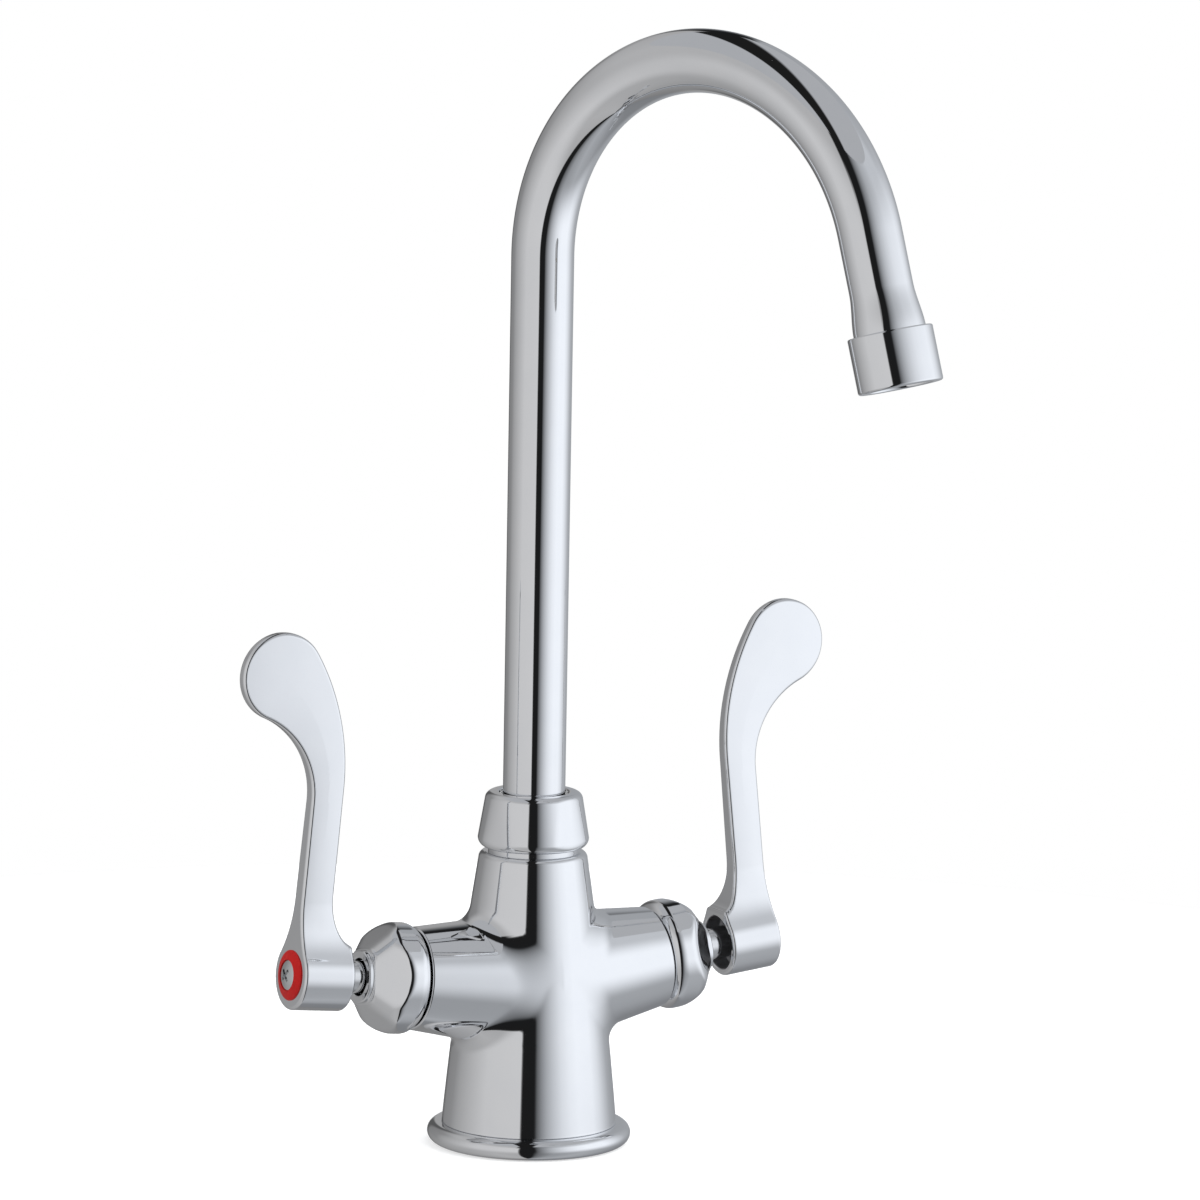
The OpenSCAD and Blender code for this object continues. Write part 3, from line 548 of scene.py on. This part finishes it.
# The rim's outer round runs straight on into the ridge, and that down to a short round end
ridge_reach = bonnet_square_r * cos(ridge) + (bonnet_step - lip) * sin(ridge)
ridge_s = (ridge_reach - rim_r - (bonnet_r - rim_r) * cos(ridge)) / sin(ridge)
ridge_arc = arc((bonnet_r - rim_r, ridge_s), rim_r, 0, ridge_turn, 24)
bonnet = turned("bonnet_bell", [
    (bonnet_bore, bonnet_thread_in), (bonnet_thread_r, bonnet_thread_in), (bonnet_thread_r, bonnet_in),
    *arc((bonnet_r - rim_r, rim_s), rim_r, -59, 0, 20), *line((bonnet_r, rim_s), (bonnet_r, ridge_s), 8),
    *ridge_arc, *line(ridge_arc[-1], (bonnet_square_r, bonnet_step - lip), 30),
    *arc((bonnet_square_r - lip, bonnet_step - lip), lip, 20, 90, 5),
    *arc((bonnet_end_r + lip, bonnet_step + lip), lip, 270, 180, 5),
    *arc((bonnet_end_r - lip, bonnet_out - lip), lip, 0, 90, 5),
    *line((bonnet_end_r - lip, bonnet_out), (eye_r + lip, bonnet_out), 4),
    *arc((eye_r + lip, bonnet_out - lip), lip, 90, 180, 5),
    (eye_r, bonnet_roof), (bonnet_bore, bonnet_roof)], 256)
flatten(bonnet, 4, lambda s: bonnet_flat + np.maximum(bonnet_step - s, 0) * bonnet_slope,
        bonnet_soft, bonnet_turn)
on_both_arms(bonnet, alike(chrome), alike("tap_body"), "bonnet")

# Handles: wristblades, each a round hub with a flat blade that widens to a paddle.
# They are cast in brass, polished and chromed, and a screw holds each on its stem.
hub_r = 10.5 * mm
hub_in = 65.7 * mm
hub_out = 82.7 * mm
cup_r = 8.3 * mm
blade_reach = 104 * mm
neck_in = 72.1 * mm
neck_half = 3.1 * mm
tip_half = 2 * mm
paddle_r = 13.45 * mm
paddle_out = 13.5 * mm
paddle = Vector((blade_reach - paddle_r, hub_out + paddle_out))
inner_r = 70 * mm
outer_r = 26 * mm
throat_v = 25.5 * mm
throat_h = throat_v - hub_r
throat_r = neck_in - hub_in
web_r = 30 * mm
web = Vector((sqrt((hub_r + web_r) ** 2 - (neck_half + web_r) ** 2), neck_half + web_r))
crown_drop = 0.3 * mm
blade_edge = 1.0 * mm
inner_s = neck_in + inner_r
inner_v = paddle.x - sqrt((inner_r - paddle_r) ** 2 - (inner_s - paddle.y) ** 2)
outer_s = hub_out + outer_r
outer_v = paddle.x - sqrt((outer_r + paddle_r) ** 2 - (outer_s - paddle.y) ** 2)
touch_in = np.degrees(atan2(paddle.y - inner_s, paddle.x - inner_v))
touch_out = np.degrees(atan2(outer_s - paddle.y, outer_v - paddle.x))


def half_thickness(v):
    """Half of a handle's thickness at a height: hub, web and blade."""
    if v < hub_r * web.x / web.length:
        return sqrt(max(hub_r ** 2 - v ** 2, 0))
    if v < web.x:
        return web.y - sqrt(web_r ** 2 - (v - web.x) ** 2)
    return neck_half + (tip_half - neck_half) * (v - web.x) / (blade_reach - web.x)


# The front outline, from the hub's inner end up the blade, round the paddle and down to the outer end
outline = [(-hub_r, hub_in), *arc((hub_r - blade_edge, hub_in + blade_edge), blade_edge, -90, 0, 6)]
outline += [(throat_v - throat_h * cos(a), hub_in + throat_r * sin(a))
            for a in np.radians(np.linspace(11, 90, 24))]
outline += arc((inner_v, inner_s), inner_r, -90, touch_in, 40)
outline += arc(paddle, paddle_r, touch_in, touch_out, 60)[1:]
outline += [*arc((outer_v, outer_s), outer_r, 180 + touch_out, 270, 30)[1:], (-hub_r, hub_out)]
outline = np.array(outline)


def outline_gap(points):
    """How far points of the front lie outside the outline, and the way out there."""
    least = np.full(len(points), np.inf)
    way = np.zeros((len(points), 2))
    inside = np.zeros(len(points), bool)
    for start, end in zip(outline[:-1], outline[1:]):
        run = end - start
        off = points - start
        part = np.clip(off @ run / (run @ run), 0, 1)
        far = ((off - part[:, None] * run) ** 2).sum(1)
        near = far < least
        least[near] = far[near]
        way[near] = np.array((run[1], -run[0])) / np.hypot(*run)
        passes = (start[1] > points[:, 1]) != (end[1] > points[:, 1])
        inside ^= passes & (off[:, 0] * abs(run[1]) < off[:, 1] * run[0] * np.sign(run[1]))
    return np.where(inside, -1, 1) * np.sqrt(least), way


def handle_gap(points):
    """How far points stand outside a handle with rounded edges, and the way out there."""
    v, y, s = points[:, 0], np.abs(points[:, 1]), points[:, 2]
    side_gap, side_way = outline_gap(points[:, ::2])
    fade = crown_drop * np.clip((v - 8 * mm) / (14 * mm), 0, 1)
    width = np.interp(v, (40 * mm, 90 * mm), (5.3 * mm, paddle_r))
    near = np.clip(1 + side_gap / width, 0, 1)
    slope = (tip_half - neck_half) / (blade_reach - web.x)
    to_hub, to_web = np.hypot(v, y), np.hypot(v - web.x, y - web.y)
    on_hub, on_web = v * web.y < y * web.x, v < web.x
    on_hub |= v < 0
    face_gap = np.where(on_hub, to_hub - hub_r, np.where(
        on_web, web_r - to_web, y - neck_half - slope * (v - web.x))) + fade * near ** 2
    tilt = 2 * fade * near / width
    face_way = np.stack([
        np.where(on_hub, v / to_hub, np.where(on_web, (web.x - v) / to_web, -slope)) + tilt * side_way[:, 0],
        np.sign(points[:, 1]) * np.where(on_hub, y / to_hub, np.where(on_web, (web.y - y) / to_web, 1)),
        tilt * side_way[:, 1]], 1)
    side_way = np.stack([side_way[:, 0], np.zeros(len(v)), side_way[:, 1]], 1)
    face_in, side_in = np.maximum(face_gap + blade_edge, 0), np.maximum(side_gap + blade_edge, 0)
    round_edge = np.hypot(face_in, side_in)
    gap = np.where(round_edge > 0, round_edge - blade_edge, np.maximum(face_gap, side_gap))
    share = np.where(round_edge > 0, face_in / np.maximum(round_edge, 1e-9), face_gap > side_gap)
    other = np.where(round_edge > 0, side_in / np.maximum(round_edge, 1e-9), face_gap <= side_gap)
    out = share[:, None] * face_way + other[:, None] * side_way
    return gap, out / np.maximum(np.linalg.norm(out, axis=1), 1e-9)[:, None]


# A rough handle first: the outline cut into strips and drawn out to the thickness of each height
bpy.ops.object.select_all(action="DESELECT")
bpy.ops.mesh.primitive_circle_add(vertices=len(outline), radius=mm, fill_type="NGON")
handle = begin("wristblade")
for corner, (v, s) in zip(handle.data.vertices, outline):
    corner.co = (v, 0, s)
bpy.ops.object.mode_set(mode="EDIT")
strips = [*(hub_r * cos(a) for a in np.radians(np.linspace(174, 56, 24))),
          *np.linspace(7 * mm, 25 * mm, 16), *np.linspace(30 * mm, 100 * mm, 8)]
for v in strips:
    bpy.ops.mesh.select_all(action="SELECT")
    bpy.ops.mesh.bisect(plane_co=(v, 0, 0), plane_no=(1, 0, 0))
bpy.ops.mesh.select_all(action="SELECT")
bpy.ops.mesh.extrude_region_move(TRANSFORM_OT_translate={"value": (0, mm, 0)})
bpy.ops.object.mode_set(mode="OBJECT")
for corner in handle.data.vertices:
    corner.co.y = half_thickness(corner.co.x) * (1 if corner.co.y > mm / 2 else -1)
merge(handle)
take(handle)
bpy.ops.object.modifier_add(type="REMESH")
handle.modifiers[-1].mode = "VOXEL"
handle.modifiers[-1].voxel_size = 0.4 * mm
bpy.ops.object.modifier_apply(modifier=handle.modifiers[-1].name)
for _ in range(3):
    bpy.ops.object.mode_set(mode="EDIT")
    bpy.ops.mesh.select_all(action="SELECT")
    bpy.ops.mesh.vertices_smooth(factor=0.5, repeat=3)
    bpy.ops.object.mode_set(mode="OBJECT")
    points = np.array([corner.co for corner in handle.data.vertices], float)
    for _ in range(4):
        gap, out = handle_gap(points)
        points -= out * gap[:, None]
    handle.data.vertices.foreach_set("co", points.astype(np.float32).ravel())
socket_fit = 0.05 * mm
cup_mouth = 0.4 * mm
cup_corner = 0.8 * mm
socket_end = drive_out + 0.1 * mm
cup = turned("cup_drill", [
    (0, hub_in - 2 * mm), (cup_r + cup_mouth, hub_in - 2 * mm), (cup_r + cup_mouth, hub_in),
    (cup_r, hub_in + cup_mouth), (cup_r, cup_floor - cup_corner), (cup_r - cup_corner, cup_floor),
    (drive_r + socket_fit, cup_floor), (drive_r + socket_fit, socket_end), (screw_r + socket_fit, socket_end),
    (screw_r + socket_fit, hub_out + mm), (0, hub_out + mm)], 96)
cut(handle, cup)


def ramp(shade, start, end):
    """A soft step from 0 to 1."""
    steps = {"data_type": "FLOAT", "interpolation_type": "SMOOTHSTEP"}
    return shade.node("MapRange", steps, {"Value": shade, "From Min": start, "From Max": end})


# The cup in the hub's inner end is made rougher, and its colour is darkened as painted shade in the recess
handle_chrome, place = new_finish("handle_chrome")
x, front, z = place.parts()
across = place.maths("ABSOLUTE", x, 0.0)
high = z - arm_z
along = across * cos(arm_tilt) + high * sin(arm_tilt)
up = high * cos(arm_tilt) - across * sin(arm_tilt)
off = place.maths("SQRT", up * up + front * front, 0.0)
in_cup = ramp(off, cup_r + 0.3 * mm, cup_r + 0.1 * mm)
dull_cup_painted_shade = in_cup * ramp(along, cup_floor + 0.4 * mm, cup_floor + 0.2 * mm)
bright, sheen, ripple = chrome_look(place)
# The dark grey in the cup is painted shade in the hub's recess, and the added roughness dulls it
coat(dull_cup_painted_shade.mix(bright, (0.46, 0.46, 0.47, 1)),
     {"Metallic": 1.0, "Roughness": sheen + 0.45 * dull_cup_painted_shade, "Normal": ripple})
on_both_arms(handle, alike(handle_chrome), levers, "handle", handle_gap)

# Index rings: coloured washers round the screws that tell hot from cold, red on the left.
# They are moulded in plastic with a sloping face and lie in the hub's outer end under the screw.
index_r = 7.65 * mm
index_h = 1.3 * mm
index_edge = 0.4 * mm
screw_head_r = 4.6 * mm
index_fall = 0.2 * mm


def index_plastic(name, dark, light):
    """A glossy moulded plastic, a little uneven in colour and skin."""
    finish, place = new_finish(name)
    flow = place.noise(2.5 * mm, 3.0)
    skin = place.node("Bump", {}, {"Strength": 0.1, "Distance": 0.03 * mm, "Height": place.noise(0.7 * mm)})
    coat(flow.blend(dark, light), {"Roughness": 0.4 + 0.15 * flow, "Specular IOR Level": 0.2, "Normal": skin})
    return finish


ring_finish = {"hot": index_plastic("index_red", (0.40, 0.004, 0.003), (0.52, 0.008, 0.006)),
               "cold": index_plastic("index_blue", (0.006, 0.040, 0.34), (0.012, 0.070, 0.46))}
index_ring = turned("index_washer", [
    (screw_head_r + set_fit, hub_out), (index_r, hub_out), (index_r, hub_out + index_edge - index_fall),
    (index_r - index_fall, hub_out + index_edge),
    *line((index_r - index_fall, hub_out + index_edge), (screw_head_r + set_fit, hub_out + index_h), 8),
    (screw_head_r + set_fit, hub_out + index_h)], 96)
on_both_arms(index_ring, ring_finish, levers, "index_ring")

# Handle screws: cross-head screws with a low domed head, one through each hub into its stem.
# They are headed and rolled from steel wire, and plated.
shank_r = 2 * mm
head_h = 1.9 * mm
head_rim = 1.0 * mm
cross_len = 4.6 * mm
cross_w = 1.1 * mm
cross_depth = 1.1 * mm
dome_r = (screw_head_r ** 2 + (head_h - head_rim) ** 2) / (2 * (head_h - head_rim))
dome_half = np.degrees(asin(screw_head_r / dome_r))
dome = arc((0, hub_out + head_h - dome_r), dome_r, 90 - dome_half, 90, 14)
screw = turned("cross_screw", [
    (0, screw_in), (shank_r, screw_in), (shank_r, hub_out), (screw_head_r, hub_out), *dome], 96)
for turn in (45, 135):
    bpy.ops.object.select_all(action="DESELECT")
    bpy.ops.mesh.primitive_cube_add(size=1, location=(0, 0, hub_out + head_h), rotation=(0, 0, radians(turn)),
                                    scale=(cross_len, cross_w, 2 * cross_depth))
    cut(screw, begin("cross_punch"))
on_both_arms(screw, alike(steel), levers, "handle_screw")

# Spout nut: a tapered nut with four crowned flats that holds the spout down in the body.
# It is forged in brass, turned and chromed, and screws onto the body's neck over a plastic bush.
nut_z = 91.8 * mm
nut_h = 17.2 * mm
nut_r = 17 * mm
nut_top_r = 15 * mm
nut_bore_r = 13.85 * mm
nut_roof = 14.2 * mm
nut_eye_r = 10.625 * mm
nut_flat = 16.5 * mm
nut_slope = tan(radians(5))
nut_turn = radians(20)
nut_foot = 3 * mm
nut_top = 2.4 * mm
nut_eye_round = 0.5 * mm
nut_soft = 1.2 * mm
foot_arc = arc((nut_r - nut_foot, nut_z + nut_foot), nut_foot, -75, 0, 16)
top_arc = arc((nut_top_r - nut_top, nut_z + nut_h - nut_top), nut_top, 15, 90, 10)
nut = turned("crown_nut", [
    (nut_bore_r, nut_z + 0.1 * mm), *foot_arc, *line(foot_arc[-1], top_arc[0], 30), *top_arc,
    *line(top_arc[-1], (nut_eye_r + nut_eye_round, nut_z + nut_h), 3),
    *arc((nut_eye_r + nut_eye_round, nut_z + nut_h - nut_eye_round), nut_eye_round, 90, 180, 5),
    (nut_eye_r, nut_z + nut_roof), (nut_bore_r, nut_z + nut_roof)], 256)
flatten(nut, 4, lambda z: nut_flat - (z - nut_z) * nut_slope, nut_soft, nut_turn)
polish(nut)
dress(nut, chrome, "tap_body", "spout_nut")
white_plastic, place = new_finish("white_plastic")
flow = place.noise(4 * mm, 3.0)
coat(flow.blend((0.74, 0.73, 0.70), (0.84, 0.835, 0.81)), {"Roughness": 0.35 + 0.15 * flow})
finish_solids(white_plastic, "spout_bushing")

# Gooseneck: a thin tube bent over in one sweep, with its tip opened out to take the aerator.
# It is drawn brass, bent and polished and chromed, and brazed into a collar that turns in the body.
tube_r = 9.525 * mm
tube_wall = 1.2 * mm
tube_z = 75 * mm
spring_z = 273.3 * mm
bend_r = 63.5 * mm
bend_angle = radians(164)
tail_len = 29.5 * mm
tip_len = 13 * mm
tip_r = 10.75 * mm
spout_swing = radians(22 - 90)
spout_turn = Matrix.Rotation(spout_swing, 4, "Z")
tail = (Matrix.Translation((bend_r, 0, spring_z)) @ Matrix.Rotation(bend_angle, 4, "Y")
        @ Matrix.Translation((-bend_r, 0, 0)))
bpy.ops.object.select_all(action="DESELECT")
bpy.ops.mesh.primitive_circle_add(vertices=96, radius=tube_r, location=(0, 0, tube_z))
tube = begin("bent_tube")
bpy.ops.object.mode_set(mode="EDIT")
bpy.ops.mesh.select_all(action="SELECT")
carry_on(tube, upright, [(tube_r, spring_z)], False)
bpy.ops.mesh.spin(steps=120, angle=bend_angle, center=(bend_r, 0, spring_z), axis=(0, -1, 0))
flare = [(tube_r + (tip_r - tube_r) * (3 * t * t - 2 * t ** 3), tail_len - tip_len * (1 - t))
         for t in np.linspace(0, 1, 13)]
carry_on(tube, tail, flare, False)
bpy.ops.object.mode_set(mode="OBJECT")
merge(tube)
take(tube)
bpy.ops.object.modifier_add(type="SOLIDIFY")
tube.modifiers[-1].thickness = tube_wall
tube.modifiers[-1].offset = -1
bpy.ops.object.modifier_apply(modifier=tube.modifiers[-1].name)
tube.data.transform(spout_turn)
polish(tube)
dress(tube, chrome, "spout", "gooseneck_tube")
finish_solids(brass, "spout_collar", "outlet_bush")
finish_solids(rubber, "spout_o_rings")

# Aerator: a short chromed cup on the spout's tip that breaks the water up with air.
# The cup is turned brass and screws on over a rubber washer, a plastic insert and a steel screen.
aerator_r = 12.7 * mm
aerator_len = 16.7 * mm
aerator_bore = 11.1 * mm
outlet_r = 9.6 * mm
lip_in = 15.2 * mm
aerator_edge = 0.8 * mm
top_edge = 0.5 * mm
housing = turned("aerator_cup", [
    (aerator_bore, 0), *line((aerator_bore, 0), (aerator_r - top_edge, 0), 2),
    *arc((aerator_r - top_edge, top_edge), top_edge, -90, 0, 8),
    *arc((aerator_r - aerator_edge, aerator_len - aerator_edge), aerator_edge, 0, 90, 12),
    *arc((outlet_r + top_edge, aerator_len - top_edge), top_edge, 90, 180, 6),
    (outlet_r, lip_in), (aerator_bore, lip_in)], 192)
housing.data.transform(spout_turn @ tail @ Matrix.Translation((0, 0, tail_len)))
polish(housing)
dress(housing, chrome, "spout", "aerator_housing")
finish_solids(rubber, "aerator_gasket")
finish_solids(white_plastic, "aerator_insert")
finish_solids(steel, "aerator_screen")

# Studio: a pale floor, soft lamps from both sides, and round the tap a tent of cards that only
# the chrome sees, grey on the left, dark at the camera and white on the right. The tent has a floor
# of its own, which the chrome sees in place of the pale one.
view_turn = radians(28.5)
view_rise = radians(9)
view_roll = radians(1.0)
view_distance = 2500 * mm
to_camera = Vector((-sin(view_turn), -cos(view_turn), 0))
to_right = Vector((cos(view_turn), -sin(view_turn), 0))
floor_r = 0.45
tent_r = 0.65
tent_low = -0.4
tent_high = 0.85
cool = (0.95, 0.985, 1.04)
neutral = (0.99, 0.99, 1.0)


def tent_finish(name):
    """An empty card material, and how far right of, towards the camera from and above the tap it is."""
    finish, place = new_finish(name)
    x, y, z = place.parts()
    return finish, x * to_right.x + y * to_right.y, x * to_camera.x + y * to_camera.y, z


def by_bearing(rightward, toward, tones):
    """A card's light by its bearing from the camera's side, in degrees to the right."""
    bearing = rightward.maths("ARCTAN2", rightward, toward) * (0.5 / pi) + 0.5
    stops = [(angle / 360 + 0.5, tuple(tone * part for part in (cool if angle > 4 else neutral)))
             for angle, tone in tones]
    return bearing.node("ValToRGB", {"stops": stops}, {"Fac": bearing})


def glowing(light):
    """Ends a card's material in its own light."""
    light.node("OutputMaterial", {}, {"Surface": light.node("Emission", {}, {"Color": light})})


# Bearings in degrees with their tones: level with the tap, above it and below it
low_tones = [
    (-180, 0.36), (-172, 0.36), (-168, 0.10), (-158, 0.10), (-150, 0.22), (-125, 0.26), (-110, 0.36),
    (-85, 0.48), (-60, 0.60), (-11, 0.62), (-9.5, 0.012), (8, 0.012), (11, 0.12), (17, 0.27), (24, 0.43),
    (33, 0.60), (45, 0.80), (57, 0.93), (70, 1.0), (95, 1.0), (108, 0.86), (122, 0.64), (136, 0.45),
    (155, 0.38), (180, 0.36)]
high_tones = [
    (-180, 0.012), (-175, 0.012), (-172, 0.40), (-110, 0.46), (-30, 0.46), (-15, 0.43), (-13.5, 0.012),
    (8, 0.012), (16, 0.20), (32, 0.42), (60, 0.58), (95, 0.58), (112, 0.46), (150, 0.38), (166, 0.38),
    (169, 0.012), (180, 0.012)]
deep_tones = [
    (-180, 0.22), (-110, 0.36), (-40, 0.45), (-11, 0.42), (-9.5, 0.012), (6, 0.012), (12, 0.15), (30, 0.32),
    (70, 0.42), (110, 0.36), (150, 0.24), (180, 0.22)]
wall_finish, rightward, toward, height = tent_finish("tent_wall")
low_light = by_bearing(rightward, toward, low_tones)
high_light = by_bearing(rightward, toward, high_tones)
deep_light = by_bearing(rightward, toward, deep_tones)
lower_light = ramp(height, tent_low, 0.05).mix(deep_light, low_light)
glowing(ramp(height, 0.30, 0.70).mix(lower_light, high_light))
floor_light, rightward, toward, height = tent_finish("tent_floor")
glowing(by_bearing(rightward, toward, deep_tones))
roof_finish, rightward, toward, height = tent_finish("tent_roof")
seam = ramp(rightward, -0.145, -0.125) * ramp(rightward, 0.11, 0.06)
glowing(seam.blend((0.42, 0.43, 0.45), (0.012, 0.012, 0.012)))


def card(name, finish, profile):
    """A ring of card round the tap, from its profile of distances and heights, seen only in the chrome."""
    steps = 180
    bpy.ops.object.select_all(action="DESELECT")
    bpy.ops.mesh.primitive_grid_add(x_subdivisions=steps, y_subdivisions=len(profile) - 1, size=1)
    made = begin(name)
    for number, corner in enumerate(made.data.vertices):
        turn = 2 * pi * (number % (steps + 1)) / steps
        distance, height = profile[number // (steps + 1)]
        corner.co = (distance * cos(turn), distance * sin(turn), height)
    made.data.materials.append(finish)
    made.visible_camera = made.visible_diffuse = made.visible_shadow = made.visible_transmission = False


card("tent_wall", wall_finish, [(tent_r, tent_low), (tent_r, tent_high)])
card("tent_floor", floor_light, [(mm, tent_low), (tent_r, tent_low)])
card("tent_roof", roof_finish, [(tent_r, tent_high), (mm, tent_high)])


def in_sight(shade):
    """1 for rays that the camera, metal or glass sends out, and 0 for those that only bring light."""
    rays = shade.node("LightPath", {}, {}, "Is Camera Ray")
    outputs = rays.socket.node.outputs
    return (rays + Shade(rays.tree, outputs["Is Glossy Ray"])
            + Shade(rays.tree, outputs["Is Transmission Ray"]))


floor_finish, place = new_finish("pale_floor")
dust = place.noise(0.05).blend((0.50, 0.50, 0.50), (0.52, 0.52, 0.52))
lit = place.node("BsdfDiffuse", {}, {"Color": dust})
glow = place.node("Emission", {}, {"Color": (1, 1, 1, 1), "Strength": 0.55})
both = place.node("AddShader", {}, {0: lit, 1: glow})
floor_look = place.node("MixShader", {}, {0: in_sight(place), 1: lit, 2: both})
place.node("OutputMaterial", {}, {"Surface": floor_look})
bpy.ops.object.select_all(action="DESELECT")
bpy.ops.mesh.primitive_circle_add(vertices=128, radius=floor_r, fill_type="NGON",
                                  location=(0, 0, -0.1 * mm))
floor = begin("studio_floor")
floor.data.materials.append(floor_finish)
floor.visible_glossy = False

world = bpy.data.worlds.new("studio")
bpy.context.scene.world = world
world.use_nodes = True
world.node_tree.nodes.clear()
sky = Shade(world.node_tree)
fill = sky.node("Background", {}, {"Color": (0.93, 0.96, 1, 1), "Strength": 0.55})
white = sky.node("Background", {}, {"Color": (1, 1, 1, 1), "Strength": 1.0})
sky.node("OutputWorld", {}, {"Surface": sky.node("MixShader", {}, {0: in_sight(sky), 1: fill, 2: white})})

lamp_aim = Vector((0, 0, 0.15))
for name, bearing, rise, distance, power, size in (
        ("key", 65, 45, 1.2, 14, 0.9), ("fill", -70, 40, 1.2, 7, 0.9), ("back", 165, 55, 1.2, 6, 0.8)):
    bpy.ops.object.select_all(action="DESELECT")
    flat = to_camera * cos(radians(bearing)) + to_right * sin(radians(bearing))
    spot = (flat * cos(radians(rise)) + Vector((0, 0, sin(radians(rise))))) * distance + lamp_aim
    aim = (lamp_aim - spot).to_track_quat("-Z", "Y").to_euler()
    bpy.ops.object.light_add(type="AREA", location=spot, rotation=aim)
    lamp = bpy.context.object
    lamp.name = f"lamp_{name}"
    lamp.data.energy = power
    lamp.data.size = size
    lamp.visible_glossy = lamp.visible_camera = False

# Camera: where the photographer stood, a little to the left of the tap's front and above its arms.
lens = 246.63
aim_height = 168.3 * mm
aim_right = 19.1 * mm
aim = Vector((0, 0, aim_height)) + to_right * aim_right
eye = aim + (to_camera * cos(view_rise) + Vector((0, 0, sin(view_rise)))) * view_distance
look = (eye - aim).normalized()
over = look.cross(to_right)
side = to_right * cos(view_roll) + over * sin(view_roll)
camera_data = bpy.data.cameras.new("camera")
camera_data.lens = lens
camera_data.sensor_width = 36
camera_data.clip_end = 100
camera = bpy.data.objects.new("camera", camera_data)
bpy.context.scene.collection.objects.link(camera)
camera.matrix_world = (Matrix.Translation(eye)
                       @ Matrix((side, look.cross(side), look)).transposed().to_4x4())
bpy.context.scene.camera = camera
bpy.context.scene.view_settings.view_transform = "Standard"
